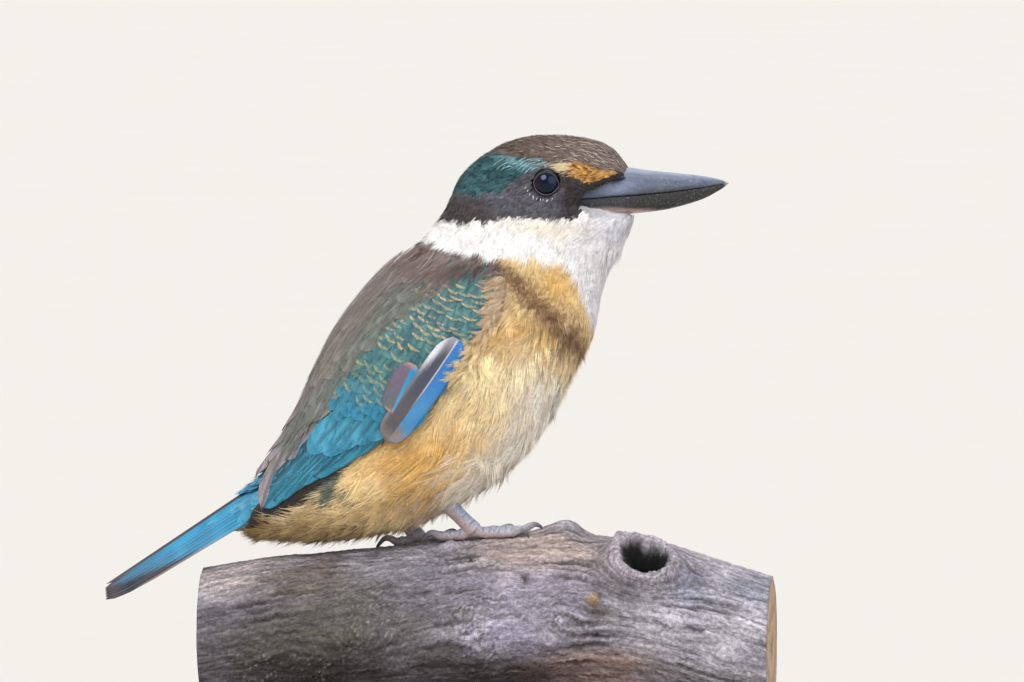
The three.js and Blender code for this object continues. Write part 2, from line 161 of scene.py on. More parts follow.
# -------- the body's surface
def hide(s, a, lift):
    """The body's surface: at station s, an oval from the back (angle 0) by the right side to the belly (pi),
    its widest level lowered, and pushed outwards by lift."""
    row = through(BODY, s)
    back, belly, half, low = row[..., 0:2], row[..., 2:4], row[..., 4], row[..., 5]
    down = belly - back
    long = np.linalg.norm(down, axis=-1)
    middle = (back + belly) / 2
    flat = middle - (np.cos(a) * (long / 2 + lift) / long)[..., None] * down
    y = -(half + lift) * np.sin(a - low * np.sin(a))
    return np.stack([flat[..., 0], y, flat[..., 1]], -1)


def frames(s, a, lift=0.0):
    """Point, steps along s and along a, and outward normal of the surface."""
    e = 2e-3
    s = np.clip(s, e, len(BODY) - 1 - e)
    p = hide(s, a, lift)
    ps = (hide(s + e, a, lift) - hide(s - e, a, lift)) / (2 * e)
    pa = (hide(s, a + e, lift) - hide(s, a - e, lift)) / (2 * e)
    n = unit(np.cross(ps, pa))
    return p, ps, pa, n


def moved(s, a, ps, pa, d):
    """Station and angle after a short move d in the surface, by solving the two by two metric."""
    g11, g12, g22 = (ps * ps).sum(-1), (ps * pa).sum(-1), (pa * pa).sum(-1)
    b1, b2 = (ps * d).sum(-1), (pa * d).sum(-1)
    det = g11 * g22 - g12 * g12
    return s + (g22 * b1 - g12 * b2) / det, a + (g11 * b2 - g12 * b1) / det


def share_of(a):
    """How far an angle lies down from the back (0) to the belly (1), on either side."""
    return (1 - np.cos(a)) / 2


def angle_of(share):
    """The angle on the right side that lies a share of the way down: the inverse of share_of."""
    return np.arccos(1 - 2 * np.clip(share, 0, 1))


def wing_place(s):
    """Upper edge, lower edge and thickness of the folded wing at station s."""
    return [np.interp(s, WING[:, 0], WING[:, k]) for k in (1, 2, 3)]


def wing_lift(s, h):
    """Height of the folded wing over the body: a lens between its edges, nothing outside them."""
    upper, lower, thick = wing_place(s)
    q = (angle_of(h) - angle_of(upper)) / (angle_of(lower) - angle_of(upper))
    ends = step(s, 4.9, 5.3) * (1 - step(s, 12.3, 12.7))
    inside = np.clip(4 * q * (1 - q), 0, 1)
    return thick * (0.35 * step(inside, 0, 0.15) + 0.65 * np.sqrt(inside)) * ends


# -------- meshes and materials
def node(tree, kind, settings=None, inputs=None):
    """Adds a node, sets its properties, and links or sets its inputs."""
    made = tree.nodes.new(kind)
    for key, value in (settings or {}).items():
        setattr(made, key, value)
    for key, value in (inputs or {}).items():
        if isinstance(value, bpy.types.NodeSocket):
            tree.links.new(value, made.inputs[key])
        else:
            made.inputs[key].default_value = value
    return made


# Most of a noise lies between these values, which are spread over the range that a material asks for.
NOISE_LOW, NOISE_HIGH = 0.28, 0.72


def material(name, colour=None, veil=None, grain=None, rough=None, bump=None, build=None, **sockets):
    """A node material in one colour, or else in its piece's own colour by point. veil lays a colour over it
    by a noise, grain multiplies it by one, rough is the roughness and bump the relief. A noise is the size
    of its blotches in millimetres, its detail, and the lowest and highest value (for bump its strength and
    its depth in millimetres), then any stretch of the place. build(tree, colour, place) gives the inputs
    that need more."""
    made = bpy.data.materials.new(name)
    made.use_nodes = True
    tree = made.node_tree
    shader = tree.nodes["Principled BSDF"]
    for key, value in sockets.items():
        shader.inputs[key.replace("_", " ")].default_value = value
    place = node(tree, "ShaderNodeTexCoord").outputs["Object"]
    if colour:
        tone = (*linear(colour), 1)
        shader.inputs["Base Color"].default_value = tone
    else:
        tone = node(tree, "ShaderNodeAttribute", {"attribute_name": "Tone"}).outputs["Color"]
    inputs = {}
    for use, row in (("veil", veil and veil[1:]), ("grain", grain), ("rough", rough), ("bump", bump)):
        if not row:
            continue
        size, detail, low, high, *stretch = row
        where = place
        if stretch:
            where = node(tree, "ShaderNodeMapping", inputs={"Vector": place, "Scale": stretch[0]}).outputs[0]
        spots = node(tree, "ShaderNodeTexNoise", inputs={"Vector": where, "Scale": 0.5 / (size * MM),
                                                         "Detail": detail}).outputs[0]
        least, most = (0, 1) if use == "bump" else (low, high)
        spots = node(tree, "ShaderNodeMapRange", inputs={"Value": spots, "From Min": NOISE_LOW,
                                                         "From Max": NOISE_HIGH, "To Min": least,
                                                         "To Max": most}).outputs[0]
        if use == "veil":
            tone = node(tree, "ShaderNodeMix", {"data_type": "RGBA"},
                        {0: spots, 6: tone, 7: (*linear(veil[0]), 1)}).outputs[2]
        elif use == "grain":
            tone = node(tree, "ShaderNodeVectorMath", {"operation": "SCALE"},
                        {0: tone, "Scale": spots}).outputs[0]
        elif use == "rough":
            inputs["Roughness"] = spots
        else:
            inputs["Normal"] = node(tree, "ShaderNodeBump", inputs={"Height": spots, "Strength": low,
                                                                    "Distance": high * MM}).outputs[0]
    if not colour or veil:
        inputs["Base Color"] = tone
    inputs.update(build(tree, tone, place) if build else {})
    for key, value in inputs.items():
        tree.links.new(value, shader.inputs[key])
    return made


def merged(bodies):
    """Several (points, faces) bodies as one: all the points, and the faces counted on."""
    points, faces, start = [], [], 0
    for p, fs in bodies:
        points.append(np.asarray(p, float).reshape(-1, 3))
        faces += [np.asarray(f) + start for f in fs]
        start += len(points[-1])
    return np.concatenate(points), faces


def placed(name, data):
    """An object of that data in the scene, at the origin."""
    made = bpy.data.objects.new(name, data)
    bpy.context.collection.objects.link(made)
    return made


def piece(name, body, mats, replaces=(), tone=None, uvs=None, which=None):
    """A mesh object from arrays in the bird's frame: points in millimetres, faces as arrays of equal sides, a
    colour and UV places by point, and which material each face array takes."""
    points, faces = body
    mesh = bpy.data.meshes.new(name)
    mesh.vertices.add(len(points))
    mesh.vertices.foreach_set("co", ((points + ORIGIN) * MM).astype(np.float32).ravel())
    sizes = np.concatenate([np.full(len(f), f.shape[1]) for f in faces])
    loops = np.concatenate([f.ravel() for f in faces]).astype(np.int32)
    mesh.loops.add(len(loops))
    mesh.loops.foreach_set("vertex_index", loops)
    mesh.polygons.add(len(sizes))
    mesh.polygons.foreach_set("loop_start", np.concatenate([[0], np.cumsum(sizes)[:-1]]).astype(np.int32))
    for m in mats if isinstance(mats, (list, tuple)) else [mats]:
        mesh.materials.append(m)
    if which is not None:
        index = np.concatenate([np.full(len(f), w) for f, w in zip(faces, which)])
        mesh.polygons.foreach_set("material_index", index.astype(np.int32))
    mesh.update(calc_edges=True)
    mesh.polygons.foreach_set("use_smooth", np.ones(len(sizes), bool))
    if tone is not None:
        rgba = np.concatenate([np.clip(tone.reshape(-1, 3), 0, 1), np.ones((len(points), 1))], 1)
        colours = mesh.color_attributes.new("Tone", "FLOAT_COLOR", "POINT")
        colours.data.foreach_set("color", rgba.astype(np.float32).ravel())
    for key, uv in (uvs or {}).items():
        layer = mesh.uv_layers.new(name=key)
        layer.data.foreach_set("uv", uv.reshape(-1, 2)[loops].astype(np.float32).ravel())
    made = placed(name, mesh)
    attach(made, "root")
    if replaces:
        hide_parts(*replaces)
    return made


def thickened(made, wall):
    """Gives a piece of bare vanes a wall, in millimetres, on their inner side."""
    solid = made.modifiers.new("wall", "SOLIDIFY")
    solid.thickness, solid.offset = wall * MM, -1


def grid_faces(rows, columns, closed=False):
    """Quads of a grid of points, rows by columns; closed joins the last column to the first. Their front is
    (along the rows) x (along the columns)."""
    r, c = np.meshgrid(np.arange(rows - 1), np.arange(columns - (not closed)), indexing="ij")
    n = (c + 1) % columns
    quads = np.stack([r * columns + c, (r + 1) * columns + c, (r + 1) * columns + n, r * columns + n], -1)
    return quads.reshape(-1, 4)


def capped(values):
    """Values by ring as a flat list, and after them the means of the first and last ring for a shell's
    ends."""
    ends = values[[0, -1]].mean(1)
    return np.concatenate([values.reshape(-1, values.shape[-1]), ends])


def shell(points):
    """A closed body from rings of points (rings, points round, 3): each end is drawn to a point at its
    middle, and the faces are turned outwards by the sign of the volume."""
    rings, around = points.shape[:2]
    flat = capped(points)
    quads = grid_faces(rings, around, True)
    k = np.arange(around)
    n = (k + 1) % around
    first = np.stack([k, n, np.full(around, rings * around)], -1)
    start = (rings - 1) * around
    last = np.stack([start + n, start + k, np.full(around, rings * around + 1)], -1)
    a, b, c, d = (flat[quads[:, i]] for i in range(4))
    volume = (np.cross(a, b) * c).sum() + (np.cross(a, c) * d).sum()
    for t in (first, last):
        volume += (np.cross(flat[t[:, 0]], flat[t[:, 1]]) * flat[t[:, 2]]).sum()
    faces = [quads, first, last]
    return flat, faces if volume > 0 else [f[:, ::-1] for f in faces]


def tube(path, radius, around=24, flat=1.0, turn=None):
    """A closed tube along a path (n, 3): round sections of the given radii, wider than high by flat; turn
    gives a factor on the radius by angle round."""
    run = unit(np.gradient(path, axis=0))
    side = unit(np.stack([-run[:, 1], run[:, 0], 0 * run[:, 0]], -1))
    up = np.cross(run, side)
    angle = np.linspace(0, 2 * np.pi, around, endpoint=False)
    r = np.broadcast_to(np.asarray(radius, float)[:, None], (len(path), around))
    if turn is not None:
        r = r * turn(angle)
    ring = np.cos(angle)[None, :, None] * flat * side[:, None] + np.sin(angle)[None, :, None] * up[:, None]
    return shell(path[:, None] + r[..., None] * ring)


def path_through(points, count):
    """A smooth path of count places through a few points."""
    return through(np.array(points, float), np.linspace(0, len(points) - 1, count))


# -------- markings
# Edges of the markings in side view, each a bent line of (x, height).
MASK_LOW = [(-6, 89.0), (-3, 89.8), (0, 89.6), (5, 88.7), (10, 89.1), (15, 90), (20, 90.6), (25, 90.3),
            (30, 90.3), (33, 91.2), (36, 93.2), (40, 94.4), (52, 93)]
TEAL_LOW = [(-4, 97.2), (0, 97.7), (5, 97.0), (10, 97.5), (14, 98.8), (17, 101.3), (20, 103.6),
            (24, 104.8), (28, 105.2)]
TEAL_HIGH = [(-4, 101.5), (0, 102), (3, 104.5), (6, 106.6), (10, 108.4), (14, 108.9), (17, 107.8),
             (20, 106.7), (24, 105.7), (28, 105.2)]
BROW_LOW = [(28, 105), (31, 103.8), (34, 102.0), (37, 101.2), (41, 101.4), (46, 102.3), (52, 102.6)]
BROW_HIGH = [(24, 105.5), (28, 106.1), (31, 106.4), (35, 105.5), (40, 104.7), (46, 103.4)]
BREAST_BAND = [(11, 79), (14, 77), (19, 72.5), (25, 66.2), (31, 60), (36, 54)]
COLLAR_LOW = [(-14, 84.5), (-10, 83.6), (-5, 83.0), (0, 81.7), (5, 81.0), (10, 80.2), (14, 79.7), (18, 80.2),
              (22, 80.0), (26, 79.4), (30, 78.2), (33, 76.8), (35, 74.8)]
CROWN_LOW = [(0, 111), (15, 110.5), (20, 108.8), (26, 107), (34, 106), (46, 104)]
HEAD_LOW = [(-8, 88.5), (0, 88), (20, 87), (30, 86), (45, 84)]
# The white throat's hind edge by height, and the shares of the way down at which the brown back and the
# blue rump end by station.
THROAT_BACK = [(54, 41), (58, 39.6), (62, 38.3), (66, 37.4), (70, 36.4), (75, 34.5)]
BACK_LOW = [(4.6, 0.40), (5.2, 0.42), (6, 0.40), (9, 0.36), (11, 0.30), (11.6, 0.26)]
RUMP_LOW = [(11.2, 0.22), (12, 0.32), (12.6, 0.5), (13.2, 0.72), (14, 0.8)]


def head_markings(p):
    """Colours of the head and throat by place: a brown crown; over it the dark mask, the teal side and the
    buff patch before the eye, each between two edges that a noise makes ragged; the white throat below."""
    x, z = p[..., 0], p[..., 2]
    wob = cloud(p, 5.0, 3) * 0.35 + cloud(p, 1.9, 4) * 0.25
    teal_low, teal_high, brow_low = curve(x, TEAL_LOW), curve(x, TEAL_HIGH), curve(x, BROW_LOW)
    base = blend("#4a3f37", "#6a5a50", 0.5 + 0.4 * cloud(p, 3.0, 5))
    base = blend(base, "#7d6d6a", step(x, 14, 38) * 0.62)
    base = blend(base, "#3c5450", step(8 - x, 0, 14) * 0.7)

    dark = blend("#443e3d", "#5c5a63", step(x, 4, 18) * (0.55 + 0.4 * wob))
    dark = spotted(dark, "#6d7080", x, z, (9, 97.0, 8, 0.9, 0.6), (18, 94, 9, 0.8, 0.4))
    dark = blend(dark, "#2c2625", step(x, 29, 33) * 0.8)
    dark = spotted(dark, "#141215", x, z, (35.5, 95.6, 3.2, 0.45, 0.9))
    base = blend(base, dark, step(teal_low - z + wob * 0.7, -0.5, 0.5) * step(30 - x, -1.5, 1.5))
    base = blend(base, dark, step(brow_low - z + wob * 0.6, -0.4, 0.4) * step(x, 26.5, 29.5))

    teal = blend("#233f42", "#3d6266", 0.5 + 0.5 * cloud(p, 2.4, 8))
    pale = np.exp(-((z - (teal_high - 0.9)) / 0.9) ** 2) * step(x, 9, 15)
    teal = blend(teal, "#7fa6ad", pale * 0.55)
    teal = blend(teal, "#142f31", step(4 - x, 0, 7) * 0.6)
    between = step(z - teal_low + wob * 0.6, -0.5, 0.5) * step(teal_high - z + wob * 0.9, -0.6, 0.7)
    base = blend(base, teal, between * step(27 - x, -1, 1.5) * step(x, -4, 0.5))

    brow = step(z - brow_low + wob * 0.5, -0.4, 0.4) * step(curve(x, BROW_HIGH) - z + wob * 0.8, -0.5, 0.5)
    buff = blend("#dccba8", "#c99650", step(x, 30.5, 34.5))
    buff = blend(buff, "#6e4a2c", step(cloud(p, 1.1, 9), 0.1, 0.9) * 0.6 * step(x, 31, 37))
    base = blend(base, buff, brow * step(x, 23.5, 26) * step(46.3 - x, 0, 2.5))

    # Greyer and cooler towards the front of the chin and throat: painted shade.
    white = blend("#f4f1ec", "#e2e1e8", step(x, 32, 45) * 0.8)
    white = spotted(white, "#ecdcc0", x, z, (27, 87, 10, 3, 0.55))
    return blend(base, white, step(curve(x, MASK_LOW) - z + wob * 0.9, -0.45, 0.45))


def body_markings(p, s, h):
    """Colours of neck, breast, belly, back and rump by place: buff underparts with golden and cream spots,
    a brown band and a stained fringe; over them the brown back, the blue rump, and the white collar and
    throat."""
    x, z = p[..., 0], p[..., 2]
    wob = cloud(p, 6.0, 11) * 0.6 + cloud(p, 2.2, 12) * 0.45
    mottle = cloud(p, 2.0, 13)
    buff = "#eccf9a"
    for tone, *spots in (("#e0b35e", (29, 73, 6, 6, 0.7), (19, 57.5, 11, 5, 0.85)),
                         ("#dfae5c", (-11, 23, 13, 9, 0.85), (2, 27, 8, 6, 0.3)),
                         ("#cf9f58", (-9, 13, 8, 5, 0.6)),
                         ("#f0dcae", (7, 45, 12, 8, 0.8)),
                         ("#f6e8d2", (22, 38, 9, 13, 0.9), (10, 22, 9, 6, 0.7))):
        buff = spotted(buff, tone, x, z, *spots)
    pale = step(h + 0.04 * wob, 0.80, 0.95) * step(s, 6.2, 7.2) * step(11.2 - s, 0, 1.2)
    buff = blend(buff, "#f4e9da", pale)
    band = (z - curve(x, BREAST_BAND)) * 0.72 / (3.6 + 1.2 * step(x, 16, 30))
    band = np.exp(-band ** 2) * step(x, 10, 14) * step(38 - x, 0, 3)
    buff = layered(buff, [
        ("#77563d", band * np.clip(1.0 + 0.35 * mottle, 0, 1)),
        ("#7c6048", blob(x, z, 33.5, 57, 4.5, 5.5) * np.clip(0.6 + 0.5 * mottle, 0, 1)),
        ("#a37f58", blob(x, z, 32, 66, 4.5, 11) * step(mottle, 0.25, 0.8) * 0.55)])
    buff = spotted(buff, "#bda38e", x, z, (13.5, 66, 2.8, 8, 0.6))
    fringe = step(7 - z + cloud(p, 9.0, 14) * 1.5, 0, 6) * step(-6 - x, 0, 8) * step(x, -46, -36)
    buff = blend(buff, "#6b5030", fringe * np.clip(0.55 + 0.5 * mottle, 0, 1))
    buff = spotted(buff, "#a98552", x, z, (-8, 11, 9, 4, 0.5))
    buff = blend(buff, "#b3986d", step(-33 - x + wob * 2, 0, 10) * 0.8)
    teal = step(blob(x, z, -38.5, 14.6, 9.5, 4.2) + 0.1 * wob, 0.3, 0.55) * step(h, 0.1, 0.3)
    buff = blend(buff, "#3f5a5c", teal * 0.9)

    brown = blend("#786763", "#7e7a72", step(78 - z + wob, 0, 12))
    brown = spotted(brown, "#2f2523", x, z, (4.5, 75.8, 11, 2.5, 0.9))
    out = blend(buff, brown, step(curve(s, BACK_LOW) - h + 0.02 * wob, -0.015, 0.015))
    blue = blend("#4a94b6", "#6cb0cc", 0.4 + 0.6 * mottle)
    out = blend(out, blue, step(s + 0.1 * wob, 11.3, 11.7) * step(curve(s, RUMP_LOW) - h, -0.04, 0.04))
    collar = step(z - curve(x, COLLAR_LOW) + wob * 0.8, -0.6, 0.6)
    throat = step(x - curve(z, THROAT_BACK) + wob * 0.6, -0.7, 0.7) * step(z, 55, 58)
    # A touch greyer and cooler towards the front of the breast and throat: painted shade.
    white = blend("#f7f5f2", "#f2eff0", step(x, 30, 41) * 0.7)
    return blend(out, white, np.maximum(collar, throat))


def markings(p, s, a):
    """The bird's colours at a place of its surface, the same for its skin and its feathers."""
    head, body = head_markings(p), body_markings(p, s, share_of(a))
    return blend(body, head, step(p[..., 2] - curve(p[..., 0], HEAD_LOW), -1.5, 1.5))


# -------- feather materials
# Contour feathers: keratin barbs over down. They scatter light like a nap: matt, with a soft sheen, finely
# uneven.
soft_feather = material("soft_contour_feather", grain=(0.5, 3, 0.84, 1.12), Roughness=0.88, Sheen_Weight=0.08,
                        Sheen_Roughness=0.5, Specular_IOR_Level=0.2)


def webbed(name, depth, between, **sockets):
    """The tight webs of wing and tail feathers, smoother than down. Their barbs run slantwise off the shaft
    as fine parallel lines: sin(2 pi (along - 1.1 |across|) / between), in colour by depth and in relief.
    Real ones are 0.1 mm apart; these are drawn about every half millimetre, coarse enough to see."""
    def barbs(tree, tone, place):
        """The nodes of that formula."""
        vane = node(tree, "ShaderNodeUVMap", {"uv_map": "Vane"}).outputs[0]
        across, along, _ = node(tree, "ShaderNodeSeparateXYZ", inputs={0: vane}).outputs
        off = node(tree, "ShaderNodeMath", {"operation": "ABSOLUTE"}, {0: across}).outputs[0]
        slant = node(tree, "ShaderNodeMath", {"operation": "MULTIPLY_ADD"},
                     {0: off, 1: -1.1, 2: along}).outputs[0]
        uneven = node(tree, "ShaderNodeTexNoise", inputs={"Vector": place, "Scale": 0.25 / MM,
                                                          "Detail": 2}).outputs[0]
        turns = node(tree, "ShaderNodeMath", {"operation": "MULTIPLY_ADD"},
                     {0: slant, 1: 20 * np.pi / between, 2: uneven}).outputs[0]
        line = node(tree, "ShaderNodeMath", {"operation": "SINE"}, {0: turns}).outputs[0]
        level = node(tree, "ShaderNodeMath", {"operation": "MULTIPLY_ADD"},
                     {0: line, 1: depth, 2: 1.0}).outputs[0]
        relief = node(tree, "ShaderNodeBump", inputs={"Height": line, "Strength": 0.35,
                                                      "Distance": 0.025 * MM})
        return {"Base Color": node(tree, "ShaderNodeVectorMath", {"operation": "SCALE"},
                                   {0: tone, "Scale": level}).outputs[0],
                "Normal": relief.outputs[0]}
    return material(name, grain=(0.4, 2, 0.92, 1.06), build=barbs, **sockets)


soft_web = webbed("soft_webbed_feather", 0.08, 0.62, Roughness=0.8, Sheen_Weight=0.08, Sheen_Roughness=0.5,
                  Specular_IOR_Level=0.2)
web_feather = webbed("webbed_wing_feather", 0.06, 0.5, Roughness=0.55, Sheen_Weight=0.04, Sheen_Roughness=0.4,
                     Specular_IOR_Level=0.35)


# -------- places on the body
BILL_BASE_HIGH = [(33, 95.8), (36, 98.3), (40, 99.9), (43.5, 101.2), (46.6, 102.8), (48.5, 104.2), (52, 105)]
BILL_BASE_LOW = [(33, 95.2), (35, 94.2), (37, 92.6), (39, 91.0), (43, 90.4), (47, 90.6), (52, 91.4)]


def at_bill(p, below=0.0):
    """True where the bill's base shows bare: between a line over the nostril and a line below the gape,
    which is drawn down by a margin."""
    x, z = p[..., 0] - 0.9, p[..., 2]
    return (x > 34.6) & (z < curve(x, BILL_BASE_HIGH)) & (z > curve(x, BILL_BASE_LOW) - below)


def from_eye(p):
    """How far a place lies from the eye's middle in side view."""
    return np.hypot(p[..., 0] - EYE[0], p[..., 2] - EYE[2])


def skin_depth(s, h):
    """How far the skin lies below the feathers' outline: thin on the face, deep on the belly."""
    body = step(s, 0.5, 5.0)
    return 0.9 + body * (1.2 + 1.0 * step(h, 0.5, 0.9))


def skin_surface(s, a):
    """The body's oval drawn in by the coat's depth, deeper under the bare base of the bill, and raised
    under the folded wings."""
    h = share_of(a)
    wing = wing_lift(s, h)
    bare = at_bill(hide(s, a, 0), 2.2) * 4.0
    return hide(s, a, 0.55 * wing - skin_depth(s, h) * (1 - 0.6 * step(wing, 0, 1)) - bare)


# -------- tufts
def tuft(columns, slivers, begin, end, breadth, fan):
    """One tuft's pattern: rows of (along, across, group, sway). A leaf of columns points across (none for
    pure down), and slivers that start at begin of the length inside it and end past its rim, fanned out
    sideways."""
    rows, faces, start = [], [], 0
    if columns:
        t = np.array([0.0, 0.22, 0.45, 0.66, 0.84])
        w = np.array([0.35, 0.8, 1.0, 0.86, 0.45])
        across = np.linspace(-1, 1, columns)
        tt, cc = np.meshgrid(t, across, indexing="ij")
        rows.append(np.stack([tt, cc * w[:, None], 0 * tt, 0 * tt], -1).reshape(-1, 4))
        faces.append(grid_faces(len(t), columns))
        start = len(rows[0])
    c = (np.arange(slivers) + 0.5) / slivers * 2 - 1
    t0 = begin + 0.1 * np.abs(c)
    t1 = end * (1 - 0.16 * c * c) + 0.05 * np.sin(np.arange(slivers) * 2.4)
    w0, w1 = c * fan[0], c * fan[1]
    tm, wm = (t0 + t1) / 2, w0 + (w1 - w0) * 0.62
    g, one = np.arange(slivers) + 1.0, np.ones(slivers)
    pattern = np.stack([np.stack(v, -1) for v in (
        (t0, w0 - breadth / 2, g, 0 * one), (t0, w0 + breadth / 2, g, 0 * one),
        (tm, wm - breadth / 2, g, 0.5 * one), (tm, wm + breadth / 2, g, 0.5 * one), (t1, w1, g, one))], 1)
    rows.append(pattern.reshape(-1, 4))
    first = start + 5 * np.arange(slivers)[:, None]
    faces.append(first + np.array([[0, 2, 3, 1]]))
    faces.append(first + np.array([[2, 4, 3]]))
    return np.concatenate(rows), faces


VANE = tuft(3, 7, 0.5, 1.0, 0.2, (0.35, 0.95))
FINE_VANE = tuft(3, 5, 0.45, 1.0, 0.3, (0.3, 0.9))
DOWN = tuft(0, 9, 0.0, 1.0, 0.2, (0.25, 1.0))
LOCK = tuft(0, 13, 0.0, 1.0, 0.12, (0.9, 0.35))
VEIL = tuft(0, 5, 0.0, 1.0, 0.11, (0.3, 0.9))
STREAK = tuft(0, 1, 0.0, 1.0, 0.75, (0.0, 0.0))

# Each row of roots starts this share of a step after the last, so that no two rows fall in line.
GOLDEN = 0.618


def roots(rng, s0, s1, spacing, angles=(0, 2 * np.pi)):
    """Root places spread evenly over the surface: rows along the body, and on each row steps of equal share
    of area over spacing squared, shaken by a part of a step."""
    out, s, row = [], s0, 0
    fine = np.linspace(*angles, 481)
    while s < s1:
        _, ps, pa, _ = frames(np.full_like(fine, s), fine)
        size = spacing(np.full_like(fine, s), fine)
        ds = float(np.mean(size) / np.mean(np.linalg.norm(ps, axis=-1)))
        weight = np.linalg.norm(np.cross(ps, pa), axis=-1) * ds / size ** 2
        total = np.concatenate([[0], np.cumsum((weight[1:] + weight[:-1]) / 2 * np.diff(fine))])
        count = int(total[-1])
        places = np.arange(count) + (row * GOLDEN) % 1 + rng.uniform(-0.4, 0.4, count)
        a = np.interp(np.mod(places, total[-1]), total, fine)
        out.append(np.stack([s + rng.uniform(-0.5, 0.5, count) * ds, a], -1))
        s, row = s + ds, row + 1
    out = np.concatenate(out)
    return out[:, 0], out[:, 1]


def drape(x, z):
    """Station and angle, on the right side, where a side view's (x, z) lies on the body: the station is
    found by halving the interval until the section's line runs through the point."""
    low, high = np.full(x.shape, 0.3), np.full(x.shape, 13.9)
    for _ in range(26):
        s = (low + high) / 2
        row = through(BODY, s)
        down = row[..., 2:4] - row[..., 0:2]
        ahead = down[..., 0] * (z - row[..., 1]) - down[..., 1] * (x - row[..., 0]) > 0
        low, high = np.where(ahead, low, s), np.where(ahead, s, high)
    share = ((x - row[..., 0]) * down[..., 0] + (z - row[..., 1]) * down[..., 1]) / (down ** 2).sum(-1)
    return s, angle_of(np.clip(share, 0.002, 0.998))


def both_sides(s, a):
    """The same places on the right side and, after them, on the left."""
    return np.concatenate([s, s]), np.concatenate([a, 2 * np.pi - a])


def wing_bed(s, a):
    """Height of the wing's own body over the flank on either side, kept up past its edges."""
    upper, lower, thick = wing_place(s)
    q = (np.arccos(np.cos(a)) - angle_of(upper)) / (angle_of(lower) - angle_of(upper))
    return thick * (0.3 + 0.5 * np.sqrt(np.clip(4 * q * (1 - q), 0, 1)))


def bake_patch(s, a, t, w):
    """Where a feather's points lie on the unwrapped body: at its root's station and angle, and spread by
    their place along and across it over a patch of 0.003, inside a margin."""
    u = 0.02 + 0.96 * s[:, None] / (len(BODY) - 1) + (t - 0.5) * 0.003
    v = 0.02 + 0.96 * np.mod(a, 2 * np.pi)[:, None] / (2 * np.pi) + w * 0.0014
    return np.stack(np.broadcast_arrays(u, v), -1).reshape(-1, 2)


def per(value, count):
    """A value for each of count things, from one value or from as many."""
    return np.broadcast_to(np.asarray(value, float), (count,))


def plume(rng, s, a, shape, length, width, turn, low, high, tone, dark, shake=0.22, camber=0.1, bed=None,
          tip=None, tip_share=0.0, tip_from=0.7, grit=0.08):
    """Tufts laid along the surface. Each point of the pattern moves along the lie of the coat by its share
    of the length and across it by its share of the width, and stands off the surface by a height that goes
    from low at the root to high at the tip, over a bed."""
    pattern, faces = shape
    n, k = len(s), len(pattern)
    length, width, turn, low, high = (per(v, n)[:, None] for v in (length, width, turn, low, high))
    _, ps, pa, outward = frames(s, a)
    e1 = unit(ps)
    e2 = unit(np.cross(outward, e1))
    e1, e2 = e1 * np.cos(turn) + e2 * np.sin(turn), e2 * np.cos(turn) - e1 * np.sin(turn)
    t, w, group, sway = pattern.T
    group = group.astype(int)
    groups = group.max() + 1
    stretch, lean, hover, light = (rng.normal(0, size, (n, groups))[:, group]
                                   for size in (0.09, shake, 0.09, grit))
    far, wide = t * (1 + sway * stretch), w + sway * lean
    d = e1[:, None] * (length * far)[..., None] + e2[:, None] * (width / 2 * wide)[..., None]
    ss, aa = moved(s[:, None], a[:, None], ps[:, None], pa[:, None], d)
    rise = low + (high - low) * far ** 1.2 + camber * width * (1 - np.minimum(w * w, 1.5)) + sway * hover
    if bed is not None:
        rise = rise + bed(ss, aa)
    points = hide(ss, aa, rise)
    tone = np.broadcast_to(linear(tone) if isinstance(tone, str) else tone, (n, 3))
    # Each tuft darkens towards its root: grey down there, and painted shade where the tufts lie over one
    # another.
    colour = tone[:, None] * (dark + (1 - dark) * np.clip(t * 2.0, 0, 1))[None, :, None]
    if tip is not None:
        share = per(tip_share, n)[:, None] * step(t, tip_from, tip_from + 0.12)
        colour = blend(colour, tip, share)
    colour = colour * (1 + light * (group > 0))[..., None]
    first = np.arange(n)[:, None, None] * k
    faces = [(f[None] + first).reshape(-1, f.shape[1]) for f in faces]
    return {"body": (points.reshape(-1, 3), faces), "tone": colour.reshape(-1, 3),
            "bake": bake_patch(s, a, t, w)}


# A tuft shows its outer part, so it takes its colour from this share of its length away from its root.
TIP_PART = 0.7


def tip_markings(s, a, length):
    """The markings where a tuft shows: near its tip, not at its covered root."""
    _, ps, pa, _ = frames(s, a)
    s, a = moved(s, a, ps, pa, unit(ps) * (TIP_PART * length)[:, None])
    return markings(hide(s, a, 0), s, a)


def coat(name, plumes, mat=None, replaces=()):
    """One coat piece from several sets of feathers."""
    uvs = {"OFBake": np.concatenate([f["bake"] for f in plumes])}
    if "vane" in plumes[0]:
        uvs["Vane"] = np.concatenate([f["vane"] for f in plumes])
    return piece(name, merged([f["body"] for f in plumes]), mat or soft_feather, replaces,
                 np.concatenate([f["tone"] for f in plumes]), uvs)


# -------- the head's coat
rng = rng_for(21)


def face_spacing(s, _):
    """Distance between tufts, in millimetres: finest on the face."""
    return 0.62 + 0.055 * np.clip(s, 0, 5.5)


def eye_dip(s, a):
    """The coat sinks a little towards the eye's rim."""
    return -0.5 * np.exp(-(from_eye(hide(s, a, 0)) / 5.2) ** 6)


